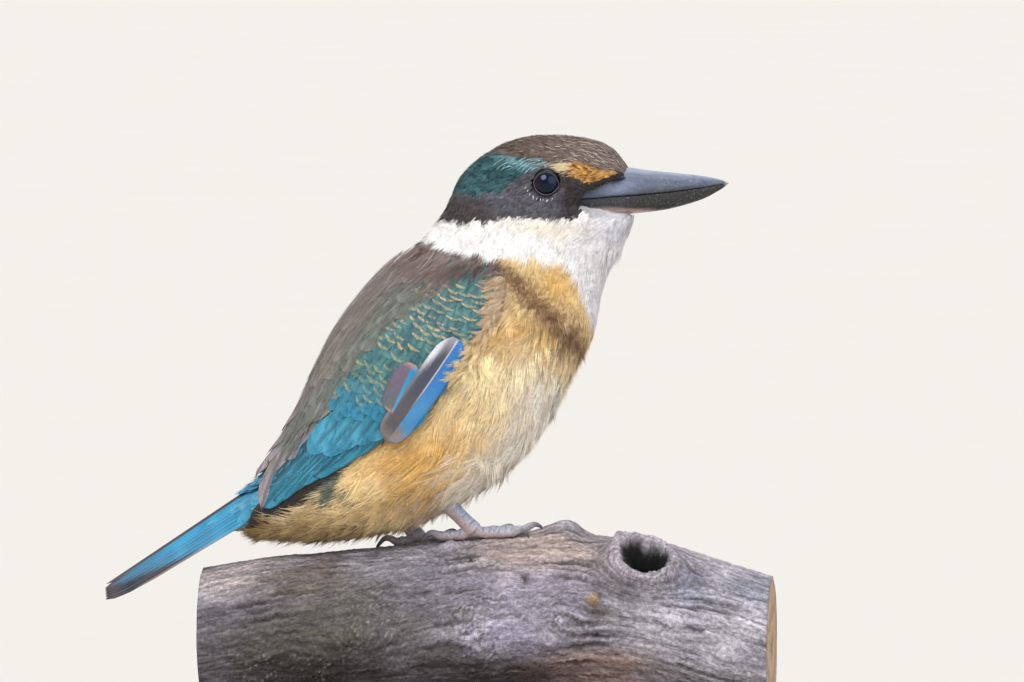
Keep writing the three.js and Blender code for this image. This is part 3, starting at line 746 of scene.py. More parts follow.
s, a = roots(rng, 0.02, 5.3, face_spacing)
p, ps, _, _ = frames(s, a)
length = 1.5 + 0.75 * np.clip(s, 0, 4) + 0.8 * step(s, 3.8, 5.2) + rng.uniform(-0.3, 0.3, len(s))
tip_at = p + unit(ps) * length[:, None]
near = from_eye(p)
clear = (near > 3.9) & (from_eye(tip_at) > 3.75) & (from_eye((p + tip_at) / 2) > 3.8)
keep = ~at_bill(p) & clear
s, a, p, length = s[keep], a[keep], p[keep], length[keep]
h = share_of(a)
count = len(s)
turn = 0.2 * cloud(p, 9, 22) + rng.normal(0, 0.13, count)
tone = 1 + 0.11 * rng.normal(0, 1, (count, 1)) + 0.07 * cloud(p, 1.6, 23)[:, None]
tone = tip_markings(s, a, length) * tone
beard = blob(p[:, 0], p[:, 2], 46, 82, 3.0, 2.2) * (h > 0.9)
high = 0.05 + 0.12 * cloud(p, 4, 24) + 2.2 * beard * rng.uniform(0.3, 1, count)
for name, part in (("face_and_crown_coat", h < 0.42), ("cheek_and_throat_coat", h >= 0.42)):
    sel = np.flatnonzero(part)
    top = h[sel].mean() < 0.42
    pale = step(tone[sel].mean(-1), 0.3, 0.6)
    sets = []
    for shape, these, wide, dark, grit, longer in ((FINE_VANE, pale < 0.5, 0.30, 0.7, 0.14, 1.0),
                                                   (DOWN, pale >= 0.5, 0.4, 0.9, 0.03, 1.25)):
        some = sel[these]
        reach = length[some] * longer
        sets.append(plume(rng, s[some], a[some], shape, reach, wide * reach + 0.3, turn[some], -0.75,
                          high[some], tone[some], dark, bed=eye_dip, grit=grit))
    if top:
        # Pale shaft streaks, thickest over the forehead, and pale hairs along the side of the crown.
        crown = p[:, 2] > curve(p[:, 0], CROWN_LOW)
        sel = np.flatnonzero(crown & (rng.uniform(size=count) < 0.03 + 0.42 * step(p[:, 0], 22, 42)))
        pale = blend("#bfa98e", "#a89a9a", rng.uniform(0, 1, len(sel))) * rng.uniform(0.5, 1.1, (len(sel), 1))
        sets.append(plume(rng, s[sel], a[sel], STREAK, 1.5 + 0.5 * rng.uniform(size=len(sel)), 0.5, turn[sel],
                          0.0, 0.32, pale, 0.9, bed=eye_dip))
        sel = np.flatnonzero((blob(p[:, 0], p[:, 2], 37, 103.6, 8, 2.2) > 0.4)
                             & (rng.uniform(size=count) < 0.3))
        brown = linear("#5a3d28") * rng.uniform(0.7, 1.2, (len(sel), 1))
        sets.append(plume(rng, s[sel], a[sel], STREAK, 1.9, 0.5, turn[sel], 0.0, 0.3, brown, 0.9,
                          bed=eye_dip))
        sel = np.flatnonzero((blob(p[:, 0], p[:, 2], 19, 106.2, 8, 1.5) > 0.35)
                             & (rng.uniform(size=count) < 0.6))
        pale = linear("#8fb7bf") * rng.uniform(0.5, 1.1, (len(sel), 1))
        sets.append(plume(rng, s[sel], a[sel], STREAK, 2.6, 0.6, turn[sel], 0.0, 0.3, pale, 0.9, bed=eye_dip))
    else:
        # Small white flecks in an arc below and behind the eye.
        spoke = np.radians(np.linspace(-172, -68, 11)) + rng.normal(0, 0.03, 11)
        far = 4.4 + 1.0 * np.clip(-np.cos(spoke), 0, 1) ** 2 + 0.12 * rng.normal(size=11)
        fs, fa = both_sides(*drape(EYE[0] + far * np.cos(spoke), EYE[2] + far * np.sin(spoke)))
        sets.append(plume(rng, fs, fa, STREAK, 0.8, 0.42, np.repeat([0.7, -0.7], 11), 0.2, 0.35, "#c9ccd4",
                          0.95, bed=eye_dip))
        # Stiff dark bristles that lie forward over the base of the bill.
        over_bill = path_through([[34.5, 94.8], [36, 97.6], [40, 100.4], [44, 101.9], [47, 103.4]], 26)
        bs, ba = both_sides(*drape(*over_bill.T))
        flip = np.pi + rng.normal(0, 0.25, len(bs))
        sets.append(plume(rng, bs, ba, FINE_VANE, 2.0, 1.0, flip, 0.0, 0.5, "#2b2524", 0.9, grit=0.15))
    coat(name, sets)

# -------- the body's coat
rng = rng_for(31)
# The edge of the folded wing in side view, under which no down shows.
WING_FRONT = [(-60, 2), (-56, 1.2), (-50, 5.0), (-45, 9.2), (-40, 12.4), (-35, 15.6), (-30, 20.4), (-24, 26),
              (-15, 30), (-10, 34), (-5, 39), (-1, 43), (3, 50), (6, 55), (9, 60), (11, 66),
              (12, 72), (11, 78)]
BACK_EDGE = [(-56, 18), (-53, 24), (-50, 29), (-45, 36.5), (-40, 47.5), (-35, 57)]


def over_wing(p):
    """How far above the wing's lower edge a place lies in side view, in millimetres."""
    return p[..., 2] - curve(p[..., 0], WING_FRONT)


def body_spacing(s, _):
    """Distance between tufts, in millimetres: a little wider towards the tail."""
    return 0.8 + 0.02 * np.clip(s - 5, 0, 6)


s, a = roots(rng, 4.75, 13.9, body_spacing)
keep = s < np.select([share_of(a) > 0.62, share_of(a) < 0.3], [13.3, 12.1], 12.7)
s, a = s[keep], a[keep]
p = hide(s, a, 0)
h = share_of(a)
upper, lower, _ = wing_place(s)
tucked = (s > 10.4) & (np.abs(p[:, 1]) > 3.5) & (p[:, 0] > -56) & (p[:, 2] < curve(p[:, 0], BACK_EDGE))
hidden = (over_wing(p) > 0.3 - 1.2 * step(-p[:, 0], 38, 42)) & (s > 5.0) & ((h > upper + 0.03) | tucked)
s, a, p, h = s[~hidden], a[~hidden], p[~hidden], h[~hidden]
count = len(s)
belly = step(h, 0.45, 0.62)
early = 1 - step(s, 4.75, 6.2)
length = 5.0 - 1.2 * early + 2.6 * step(s, 5, 9) + 2.0 * belly * step(s, 6, 9) + rng.uniform(-0.8, 0.8, count)
at_edge = np.exp(-((over_wing(p) + 1.5) / 3) ** 2) * (h > 0.3) * step(11.0 - s, 0, 1)
clump = cloud(p, 8, 32)
turn = 0.32 * clump + 0.13 * cloud(p, 3.5, 33) + rng.normal(0, 0.1, count)
side = np.sign(np.pi - a)
rim = step(over_wing(p), -5.5, -1) * (h > 0.3) * step(12.8 - s, 0, 0.4)
turn = turn + rim * (side * (0.15 + 0.4 * step(-p[:, 0], 28, 36) + 0.7 * np.abs(turn)) - turn)
trail = step(-p[:, 0], 38, 46) * step(over_wing(p), -8, -3) * (h > 0.3)
vent = step(s, 12.2, 13.0) * step(h, 0.45, 0.6) * (1 - trail)
turn = turn + side * ((0.5 + 0.4 * step(s, 12.4, 12.8)) * trail - 0.25 * vent)
length = length * (1 - 0.35 * at_edge) + 4.5 * vent
tone = tip_markings(s, a, length)
tone = tone * (1 + rng.normal(0, 0.06, (count, 1))
               + (0.09 * cloud(p, 3.0, 34) + 0.07 * cloud(p, 9, 36))[:, None])
loose = step(s, 8.6, 10.2) * step(h, 0.6, 0.85)
high = 0.2 + belly * (0.7 * cloud(p, 5, 35) + 0.25) + 1.6 * loose * rng.uniform(0, 1, count)
low = -1.7 - 0.7 * belly
for name, part, slot in (("breast_coat", (s < 7.6) & (h > 0.4), "breast_feathers"),
                         ("belly_coat", (s >= 7.6) & (h > 0.4), "breast_feathers"),
                         ("mantle_coat", (s < 10.8) & (h <= 0.4), "wing_feathers"),
                         ("rump_coat", (s >= 10.8) & (h <= 0.4), "rump_feathers")):
    sel = np.flatnonzero(part)
    downy = name in ("breast_coat", "belly_coat")
    shape = DOWN if downy else VANE
    wide = (0.36 if downy else 0.42) * length[sel]
    coat(name, [plume(rng, s[sel], a[sel], shape, length[sel], wide, turn[sel], low[sel], high[sel],
                      tone[sel], 0.86 if downy else 0.7)])

# Long loose hairs of down over the breast and flanks, lying in locks that turn this way and that.
s, a = roots(rng, 4.9, 12.5, lambda s, a: 1.9 + 0 * s)
p = hide(s, a, 0)
h = share_of(a)
keep = (h > 0.4) & ~((over_wing(p) > -1.8) & (s > 5.6))
s, a, p, h = s[keep], a[keep], p[keep], h[keep]
count = len(s)
lock = cloud(p, 6.5, 37)
length = (7.0 + 5.0 * step(s, 6, 9) + rng.uniform(-1.5, 2.5, count)) * (1 - 0.3 * (1 - step(s, 4.9, 6.5)))
turn = 0.42 * lock + 0.16 * cloud(p, 2.5, 38) + rng.normal(0, 0.1, count)
rim = step(over_wing(p), -7, -2) * step(s, 6, 7)
turn = turn + rim * (np.sign(np.pi - a) * (0.1 + 0.55 * step(-p[:, 0], 26, 38) + np.abs(turn)) - turn)
tone = tip_markings(s, a, length) * (1.06 + 0.14 * lock + rng.normal(0, 0.08, count))[:, None]
loose = step(s, 8.6, 10.2) * step(h, 0.6, 0.85)
high = 0.5 + 0.5 * lock + 1.9 * loose * rng.uniform(0, 1, count)
pale = (rng.uniform(size=count) < 0.15) * step(h, 0.5, 0.6)
tone = blend(tone, "#f2e4c8", pale * 0.3)
down = [plume(rng, s, a, LOCK, length, 0.4 * length, turn, -0.9, high, tone, 0.6, shake=0.3, grit=0.1)]

# Strands that lap over the front edge of the folded wing, and on the right side over the displaced feather,
# as many as this on each side.
LAPPING = 210
edge = through([[12.5, 75], [12, 70], [11, 65], [9, 60], [5.6, 55.6], [2.9, 50.8], [0.6, 46.2]],
               6 * np.linspace(0, 1, LAPPING) ** 1.1)
edge = edge + np.stack([rng.uniform(0.8, 3.6, LAPPING), rng.uniform(-1, 1, LAPPING)], -1)
s, a = both_sides(*drape(*edge.T))
p = hide(s, a, 0)
beside = step(57 - p[:, 2], 0, 3) * (a < np.pi)
count = len(s)
length = rng.uniform(2.2, 4.6, count)
turn = -np.sign(np.pi - a) * (0.42 + 0.25 * cloud(p, 4, 41)) + rng.normal(0, 0.28, count)
tone = blend(markings(p, s, a), "#c9b09d", rng.uniform(0, 0.8, count) * (1 - beside))
tone = blend(tone, "#f0d9a8", 0.6 * beside)
high = 1.3 + 0.7 * rng.uniform(-1, 1, count) + 2.2 * beside
down.append(plume(rng, s, a, LOCK, length, 0.36 * length, turn, -0.2, high, tone, 0.75, shake=0.35, grit=0.12,
                  bed=wing_bed))

# The ragged fringe that hangs from the lower edge of the belly, its tips stained brown.
s, a = roots(rng, 8.8, 12.6, lambda s, a: 1.9 + 0 * s, (np.pi - 1.0, np.pi + 1.0))
p = hide(s, a, 0)
count = len(s)
length = 7.5 + rng.uniform(-2, 2.5, count)
turn = 0.6 * cloud(p, 6, 39) + rng.normal(0, 0.22, count)
pale = np.clip(0.6 - 0.6 * cloud(p, 5, 40), 0, 1) * step(p[:, 0], -4, 6)
tone = blend(tip_markings(s, a, length), "#efe3d0", pale)
high = 1.0 + 3.4 * rng.uniform(0, 1, count) ** 1.5
stained = rng.uniform(0.3, 1, count) * step(2 - p[:, 0], 0, 8)
down.append(plume(rng, s, a, LOCK, length, 0.4 * length, turn, -0.8, high, tone, 0.85, shake=0.35, grit=0.12,
                  tip="#553c22", tip_share=stained, tip_from=0.45))
coat("loose_down", down)

# -------- skin, legs and feet
# Half the thickness of a leg and of a toe; each foot's ankle, joint, heading in degrees and reach of its
# hind toe; each toe's bearing in degrees, its length with its claw, and its claw's length.
LEG, TOE = 1.85, 1.15
FEET = {"right": ([-4.4, -5.2, 13.0], [5.4, -4.4, 3.1], -2, 1.0),
        "left": ([-18.4, 6.6, 8.4], [-11.2, 6.4, 0.4], 4, 0.78)}
TOES = {"hind": (177, 14.8, 5.4), "inner": (17, 12.4, 4.0), "middle": (2, 19.4, 4.6),
        "outer": (-8, 16.0, 4.2)}
# The air between a toe and the wood, and how many rings a shank, a toe and a claw are made of.
GAP = 0.3
SHANK_RINGS, TOE_RINGS, CLAW_RINGS, CLAW_AROUND = 70, 60, 48, 20

# The driftwood's top and radius at eleven even places from its rear end to its front, and the turn from its
# top at which the middle of its knot hole lies.
PERCH_TOP = [-8.8, -6.1, -4.2, -2.9, -0.9, 0.9, 1.4, 1.0, -0.8, -5.2, -9.8]
PERCH_RADIUS = [18.6, 19.4, 20.2, 20.8, 21.4, 21.8, 22.2, 22.8, 22.6, 21.4, 20.4]
PERCH_FROM, PERCH_TO = -71.0, 89.0
HOLE_TURN = -np.radians(38)


def perch_line(x):
    """Radius and height of the middle of the driftwood at x."""
    place = (x - PERCH_FROM) / (PERCH_TO - PERCH_FROM) * 10
    radius = through(PERCH_RADIUS, place)
    return radius, through(PERCH_TOP, place) - radius


def perch_radius(x, angle):
    """Radius of the driftwood at a place along it and an angle from its top towards the left side: long
    waves, a hump, and a knot with a raised rim round a hollow."""
    girth, _ = perch_line(x)
    bell = lambda v: np.exp(-v * v)
    waves = 0.7 * np.sin(x / 17 + 2 * angle) + 0.45 * np.sin(x / 8.5 - 3 * angle)
    waves = waves + 0.35 * np.sin(x / 29 + 5 * angle)
    hump = 4.2 * bell((x - 32) / np.where(x < 32, 8.5, 4.6)) * bell((angle + np.radians(2)) / 0.36)
    away = np.hypot(x - 54.5, (angle - HOLE_TURN) * girth) / 8.6
    knot = 4.2 * bell((away - 0.72) / 0.5) - 8.5 * bell(away / 0.48)
    return girth + waves * (1 - bell(angle / 0.6)) + hump + knot


def perch_height(x, y):
    """Height of the driftwood's surface under (x, y), by halving the interval."""
    low, high = np.full_like(x, -15.0), np.full_like(x, 20.0)
    _, centre = perch_line(x)
    for _ in range(30):
        z = (low + high) / 2
        inside = np.hypot(y, z - centre) < perch_radius(x, np.arctan2(y, z - centre))
        low, high = np.where(inside, z, low), np.where(inside, high, z)
    return low


def toe_paths(side, row):
    """A toe's path from the foot's joint over the wood to its claw, and the claw's hooked path."""
    _, joint, heading, reach = FEET[side]
    bearing, long, claw = row
    long = long * (reach if bearing > 90 else 1)
    arch = 1.5 if bearing > 90 else 0.95
    way = np.radians(heading + bearing * (1 if side == "right" else -1))
    bare = long - claw

    def over(distances, heights):
        """Points at distances from the joint and heights over the wood."""
        x, y = joint[0] + np.cos(way) * np.array(distances), joint[1] + np.sin(way) * np.array(distances)
        return np.stack([x, y, perch_height(x, y) + np.array(heights)], -1)

    start = np.array(joint)[None] - [[0, 0, 0.5]]
    flesh = np.concatenate([start, over([bare * 0.35, bare * 0.7, bare],
                                        [TOE + GAP + 0.25, TOE + GAP + 0.35, TOE + GAP + 0.3])])
    r = bare + 0.45 * TOE
    hook = over([r - 1.0, r + claw * 0.2, r + claw * 0.5, r + claw * 0.8, r + claw * 0.93],
                [TOE + GAP + 0.2, TOE + GAP + arch, TOE + GAP + arch, TOE + GAP - 0.1, GAP + 0.1])
    return path_through(flesh, TOE_RINGS), path_through(hook, CLAW_RINGS)


leg_bodies, lines, claws = [], [], {"right": [], "left": []}
for side, (ankle, joint, _, _) in FEET.items():
    ankle, joint = np.array(ankle), np.array(joint)
    top = ankle + (ankle - joint) * 0.9 + [0, 0, 4]
    shank = path_through([top, ankle, (ankle + joint) / 2, joint, joint + [0.5, 0, -0.5]], SHANK_RINGS)
    v = np.linspace(0, 1, SHANK_RINGS)
    girth = LEG * curve(v, [(0, 1.8), (0.25, 1.5), (0.4, 1.28), (0.6, 1.16), (0.78, 1.35), (1, 0.65)])
    leg_bodies.append(tube(shank, girth, 32))
    lines.append(np.concatenate([shank, v[:, None] * 14 + 100, girth[:, None]], 1))
    for row in TOES.values():
        flesh, hook = toe_paths(side, row)
        v = np.linspace(0, 1, TOE_RINGS)
        girth = TOE * (1.38 - 0.25 * v + 0.08 * np.cos(6 * np.pi * v)) * (1 - 0.3 * step(v, 0.84, 1.0))
        leg_bodies.append(tube(flesh, girth, 24, 1.05))
        long = np.linalg.norm(np.diff(flesh, axis=0), axis=1).sum()
        lines.append(np.concatenate([flesh, v[:, None] * long, girth[:, None]], 1))
        horn = 0.95 * (1 - np.linspace(0, 1, CLAW_RINGS)) ** 0.75 + 0.07
        claws[side].append(tube(hook, horn, CLAW_AROUND, 0.72, lambda angle: 1 - 0.12 * np.cos(2 * angle)))


def fused(body, voxel):
    """One closed surface round all the tubes of a body, by a voxel remesh."""
    points, faces = body
    mesh = bpy.data.meshes.new("tubes")
    mesh.from_pydata((points * MM).tolist(), [], [tuple(q) for f in faces for q in f.tolist()])
    made = placed("tubes", mesh)
    remesh = made.modifiers.new("fuse", "REMESH")
    remesh.mode, remesh.voxel_size = "VOXEL", voxel * MM
    smooth = made.modifiers.new("soften", "SMOOTH")
    smooth.factor, smooth.iterations = 0.5, 4
    done = made.evaluated_get(bpy.context.evaluated_depsgraph_get()).to_mesh()
    co = np.empty(len(done.vertices) * 3, np.float32)
    done.vertices.foreach_get("co", co)
    no = np.empty(len(done.vertices) * 3, np.float32)
    done.vertex_normals.foreach_get("vector", no)
    quads = np.empty(len(done.loops), np.int32)
    done.loops.foreach_get("vertex_index", quads)
    made.to_mesh_clear()
    bpy.data.objects.remove(made)
    bpy.data.meshes.remove(mesh)
    return co.reshape(-1, 3) / MM, no.reshape(-1, 3), quads.reshape(-1, 4)


legs, leg_normals, leg_quads = fused(merged(leg_bodies), 0.24)
line = np.concatenate(lines)
nearest = []
for chunk in np.array_split(legs, 60):
    gap = ((chunk[:, None] - line[None, :, :3]) ** 2).sum(-1) - line[None, :, 4] ** 2
    nearest.append(np.argmin(gap, 1))
nearest = np.concatenate(nearest)
away = legs - line[nearest, :3]
along = line[nearest, 3]
topside = step(unit(away)[:, 2], -0.2, 0.5)
scute = np.mod(along, 1.5) / 1.5
ridge = step(scute, 0.0, 0.2) * (1 - 0.5 * scute)
pebble = cloud(legs, 0.9, 41)
legs = legs + leg_normals * (0.13 * topside * (ridge - 0.6) + 0.04 * pebble)[:, None]
grey = blend("#9da0b0", "#65637a", step(pebble, 0.0, 1.4) * 0.6)
grey = layered(grey, [
    ("#b3b0b4", topside * step(scute, 0.3, 0.9) * 0.5),
    ("#45404a", (1 - step(scute, 0.02, 0.2)) * topside * 0.6),
    ("#c08f6c", (1 - topside) * 0.4),
    ("#7f99b5", step(legs[:, 2], 3, 9) * topside * 0.45)])

stations = np.linspace(0.0, 13.9, 300)
around = np.linspace(0, 2 * np.pi, 180, endpoint=False)
ss, aa = np.meshgrid(stations, around, indexing="ij")
trunk = skin_surface(ss, aa)
trunk_body = shell(trunk)
s_all = np.concatenate([ss.ravel(), [0.0, 13.9]])
a_all = np.concatenate([aa.ravel(), [0.0, 0.0]])
# The skin takes the markings darkened by a fifth: painted shade under the coat.
trunk_tone = markings(hide(s_all, a_all, 0), s_all, a_all) * 0.8

# Scaly hide of shank and toes: keratin plates, satin, with dark lines between.
leg_hide = material("scaly_leg_hide", grain=(0.35, 4, 0.75, 1.2), bump=(0.3, 3, 0.5, 0.06), Roughness=0.55)
skin_body = merged([trunk_body, (legs, [leg_quads])])
piece("skin", skin_body, [soft_feather, leg_hide],
      ("head", "neck", "trunk", "rump", "leg_right", "leg_left", "foot_right", "foot_left"),
      np.concatenate([trunk_tone, grey]), which=[0] * len(trunk_body[1]) + [1])

# Claw horn: smooth dark keratin, glossy, paler at the root.
claw_horn = material("claw_horn", grain=(0.5, 3, 0.8, 1.2), bump=(0.6, 3, 0.3, 0.04), Roughness=0.3)
shade = blend("#938e92", "#4a464c", step(np.linspace(0, 1, CLAW_RINGS), 0.1, 0.8))
claw_tone = capped(np.repeat(shade[:, None], CLAW_AROUND, 1))
for side, bodies in claws.items():
    piece(f"claws_{side}", merged(bodies), claw_horn, [f"claw_{side}_{name}" for name in TOES],
          np.tile(claw_tone, (len(bodies), 1)))

# -------- long feathers of wing and tail
def blade(rows, columns, profile, slivers=0, fray=0.1):
    """A long feather's pattern: rows of (along, across, group, sway) over a leaf whose half-width follows
    the profile of (place along, share) pairs, and slivers round its tip that fray its rim. The rows stand
    closer over the last fifth."""
    def half(v):
        """Half the width at shares v of the length."""
        return curve(v, profile)

    t = np.concatenate([np.linspace(0.0, 0.8, rows - 6, endpoint=False), np.linspace(0.8, 1.0, 6)])
    across = np.asarray(columns, float)
    tt, cc = np.meshgrid(t, across, indexing="ij")
    grid = np.stack([tt, cc * half(t)[:, None], 0 * tt, 0 * tt], -1).reshape(-1, 4)
    faces = [grid_faces(rows, len(across))]
    if slivers:
        q = np.linspace(-1, 1, slivers)
        t0 = 1 - 0.42 * np.abs(q) ** 1.3
        w = np.sign(q) * half(t0 - 0.02) * np.minimum(1, np.abs(q) * 1.15)
        wave = 0.5 + 0.5 * np.sin(np.arange(slivers) * 2.4)
        g, one = np.arange(slivers) + 1.0, np.ones(slivers)
        a, b = 0.86, 1.02 + fray * 0.35 * (0.4 + wave)
        t1 = t0 + fray * (0.5 + 0.7 * wave)
        wide = 0.9 / slivers
        pattern = np.stack([np.stack(v, -1) for v in (
            (t0 - 0.14, w * a - wide, g, 0 * one), (t0 - 0.14, w * a + wide, g, 0 * one),
            (t1, w * b, g, one))], 1)
        faces.append(len(grid) + 3 * np.arange(slivers)[:, None] + np.array([[0, 2, 1]]))
        grid = np.concatenate([grid, pattern.reshape(-1, 4)])
    return grid, faces


WEBS = (-1, -0.8, -0.55, -0.3, -0.06, 0.06, 0.3, 0.55, 0.8, 1)
COVERT = blade(12, WEBS, [(0, 0.3), (0.2, 0.7), (0.5, 1), (0.75, 0.97), (0.88, 0.8), (0.96, 0.5), (1, 0.12)],
               19, 0.09)
SCAPULAR = blade(14, WEBS, [(0, 0.3), (0.25, 0.8), (0.55, 1), (0.75, 0.92), (0.88, 0.7), (0.96, 0.42),
                            (1, 0.08)], 25, 0.11)
TERTIAL = blade(20, WEBS, [(0, 0.6), (0.2, 0.9), (0.45, 1), (0.65, 0.94), (0.8, 0.74), (0.92, 0.4),
                           (1, 0.04)], 15, 0.05)
FLIGHT = blade(22, WEBS, [(0, 0.5), (0.1, 0.85), (0.3, 1), (0.75, 1), (0.88, 0.86), (0.95, 0.62),
                          (0.985, 0.35), (1, 0.06)])
LOOSE = blade(24, (-1, -0.85, -0.7, -0.5, -0.3, -0.12, -0.06, -0.025, 0.025, 0.06, 0.12, 0.3, 0.5, 0.75,
                   0.9, 1),
              [(0, 0.35), (0.05, 0.66), (0.12, 0.92), (0.25, 1), (0.85, 1), (0.93, 0.86),
               (0.975, 0.6), (1, 0.12)])
SHORT = blade(20, WEBS, [(0, 0.25), (0.08, 0.6), (0.25, 0.92), (0.5, 1), (0.8, 0.95), (0.9, 0.8), (0.97, 0.5),
                         (1, 0.1)], 17, 0.04)
# The walls of bare vanes, in millimetres.
WING_WALL, TAIL_WALL = 0.12, 0.14


def strip(number, count, w):
    """Where a feather's width lies when count feathers are unwrapped side by side."""
    return (number + 0.5 + 0.42 * w) / count


def quill(rng, hand, root, tip, width, pattern, low, high, paint, bow=0.0, tilt=0.0, webs=(0.5, 0.5),
          camber=0.05, bed=None, cell=None):
    """Long feathers laid over the body from root to tip, both in side view. The shaft runs from one to the
    other, bowed towards its lower side by bow of the length; the webs reach their shares of the width to
    either side; the height goes from low to high, is higher at the upper edge by tilt, and falls towards
    the rims by camber. cell is their first strip on the unwrapped plane and how many it has."""
    grid, faces = pattern
    root, tip = np.asarray(root, float), np.asarray(tip, float)
    n, k = len(root), len(grid)
    width, low, high, bow, tilt = (per(v, n)[:, None] for v in (width, low, high, bow, tilt))
    t, w, group, sway = grid.T
    group = group.astype(int)
    groups = group.max() + 1
    far = t + sway * rng.normal(0, 0.02, (n, groups))[:, group]
    wide = w + sway * rng.normal(0, 0.05, (n, groups))[:, group]
    run = tip - root
    lower = np.stack([-run[:, 1], run[:, 0]], -1) * np.sign(run[:, :1] + 1e-9)
    lower = np.where(lower[:, 1:] > 0, -lower, lower)

    def shaft(v):
        """Station, angle and point of the shafts at shares v of their length."""
        xz = root[:, None] + run[:, None] * v[..., None] + lower[:, None] * (bow * 4 * v * (1 - v))[..., None]
        s, a = drape(xz[..., 0], xz[..., 1])
        return s, a, hide(s, a, 0)

    s, a, p = shaft(far)
    _, _, ahead = shaft(far + 0.01)
    _, ps, pa, outward = frames(s, a)
    sideways = np.cross(outward, unit(ahead - p))
    half = np.where(wide > 0, webs[1], webs[0]) * width
    s, a = moved(s, a, ps, pa, sideways * (half * wide)[..., None])
    rise = low + (high - low) * np.clip(far, 0, 1.1) - tilt * wide - camber * width * wide ** 2
    rise = rise + 0.09 * (np.abs(w) < 0.1) + sway * rng.normal(0, 0.05, (n, groups))[:, group]
    if bed is not None:
        rise = rise + bed(s, a)
    points = hide(s, a, rise)
    tone = paint(np.broadcast_to(t, (n, k)), np.broadcast_to(w, (n, k)), points)
    tone = tone * (1 + rng.normal(0, 0.05, (n, groups))[:, group] * (group > 0))[..., None]
    if hand > 0:
        points = points * [1, -1, 1]
        faces = [f[:, ::-1] for f in faces]
    first = np.arange(n)[:, None, None] * k
    if cell is None:
        s0, a0 = drape(root[:, 0], root[:, 1])
        bake = bake_patch(s0, -hand * a0, t, w)
    else:
        u = strip(cell[0] + np.arange(n)[:, None], cell[1], w)
        bake = np.stack([u, 0.03 + 0.9 * t + 0 * u], -1).reshape(-1, 2)
    along = np.linalg.norm(run, axis=1)[:, None] * far
    return {"body": (points.reshape(-1, 3), [(f[None] + first).reshape(-1, f.shape[1]) for f in faces]),
            "tone": tone.reshape(-1, 3), "bake": bake,
            "vane": np.stack([half * wide, along], -1).reshape(-1, 2) / 10}


def within(points, polygon):
    """True for (x, z) points within a polygon, by counting edge crossings."""
    x, z = points.T
    polygon = np.array(polygon, float)
    hit = np.zeros(len(x), bool)
    for (x0, z0), (x1, z1) in zip(polygon, np.roll(polygon, -1, 0)):
        hit ^= ((z0 > z) != (z1 > z)) & (x < (x1 - x0) * (z - z0) / (z1 - z0 + 1e-12) + x0)
    return hit


def shingles(rng, polygon, direction, row, column, shake=0.12):
    """Tip places in staggered rows across a direction in degrees, inside a polygon."""
    d = np.array([np.cos(np.radians(direction)), np.sin(np.radians(direction))])
    e = np.array([-d[1], d[0]])
    i, j = np.meshgrid(np.arange(-40, 41), np.arange(-40, 41), indexing="ij")
    u, v = i * row, (j + 0.5 * (i % 2)) * column
    places = np.mean(polygon, axis=0) + u.reshape(-1, 1) * d + v.reshape(-1, 1) * e
    places = places + rng.normal(0, shake, places.shape) * [row, column]
    places = places[within(places, polygon)]
    return places[np.argsort(places @ -d)]


def shaken(rng, places, size):
    """Places set off by a random size in both directions."""
    return np.array(places, float) + rng.normal(0, size, (len(places), 2))


def up_from(tips, long, way):
    """Where feathers start: their length from their tips, at an angle up from straight ahead."""
    return tips + np.reshape(long, (-1, 1)) * np.stack([np.cos(way), np.sin(way)], -1)


def web_tone(base, edge, t, w, dim=0.35):
    """A vane's tone: darker towards the root, and a fine dark shaft."""
    tone = base * (1 - dim + dim * np.clip(t * 1.7, 0, 1))[..., None]
    tone = blend(tone, edge, step(np.abs(w), 0.62, 1.0) * 0.35 * step(t, 0.3, 0.6))
    return blend(tone, "#20262a", 0.5 * (np.abs(w) < 0.1) * (1 - step(t, 0.75, 0.9)))


# Areas and tips of the wing's feathers in side view.
COVERTS_AREA = [(9.5, 72), (11, 69), (10, 63), (6.5, 57), (2.5, 52), (0.5, 47), (-3, 42), (-8, 37), (-15, 34),
                (-24, 33), (-33, 33), (-35, 38), (-32, 44), (-27, 51), (-22, 58), (-17, 64), (-10, 68),
                (0, 72), (5, 72.5)]
COVERT_BARBS_AREA = [(9, 74), (10.5, 69), (9.5, 63), (6, 57), (2, 52), (0, 47), (-4, 42), (-9, 37),
                     (-16, 33.5), (-24, 27), (-33, 21), (-42, 16.5), (-51, 11), (-48, 19), (-39, 29),
                     (-35, 36), (-32, 43), (-27, 50), (-22, 57), (-17, 62.5), (-10, 66.5),
                     (0, 71.5), (5, 73)]
SCAPULARS_AREA = [(11, 77), (9.5, 74), (4, 73), (-2, 70.5), (-10, 65), (-15, 61), (-19.5, 56), (-24.5, 50),
                  (-29, 43), (-33, 37), (-37.5, 31.5), (-42, 33), (-45, 38), (-41, 46), (-36, 54),
                  (-29, 64.5), (-22, 72), (-15, 77), (-8, 79), (0, 78.5), (6, 78.5)]
GREATER_TIPS = [(-12.5, 31.5), (-17, 29.8), (-21.5, 28.6), (-26, 27.2), (-30.5, 25.8), (-34.5, 24.6),
                (-38.5, 24.0)]
SECONDARY_TIPS = [(-29, 23.6), (-33.5, 20.6), (-38, 17.9), (-42.5, 15.7), (-46.5, 13.4), (-50, 11.0),
                  (-52.8, 8.8)]
PRIMARY_TIPS = [(-36, 17.6), (-41, 14.6), (-46, 10.8), (-51, 6.9), (-54.5, 4.2), (-56.8, 2.9)]
TERTIAL_TIPS = [(-45.5, 22.0), (-53.7, 8.6), (-54.4, 17.0), (-51.5, 24.5), (-48.0, 31.5)]


def primary_paint(t, w, _):
    """Brown-black, with slightly paler rims."""
    tone = blend("#2b2524", "#4a4240", step(w, 0.5, 1.0) * 0.5)
    return blend(tone, "#6b5f5a", step(np.abs(w), 0.85, 1.0) * step(t, 0.7, 0.95) * 0.7)


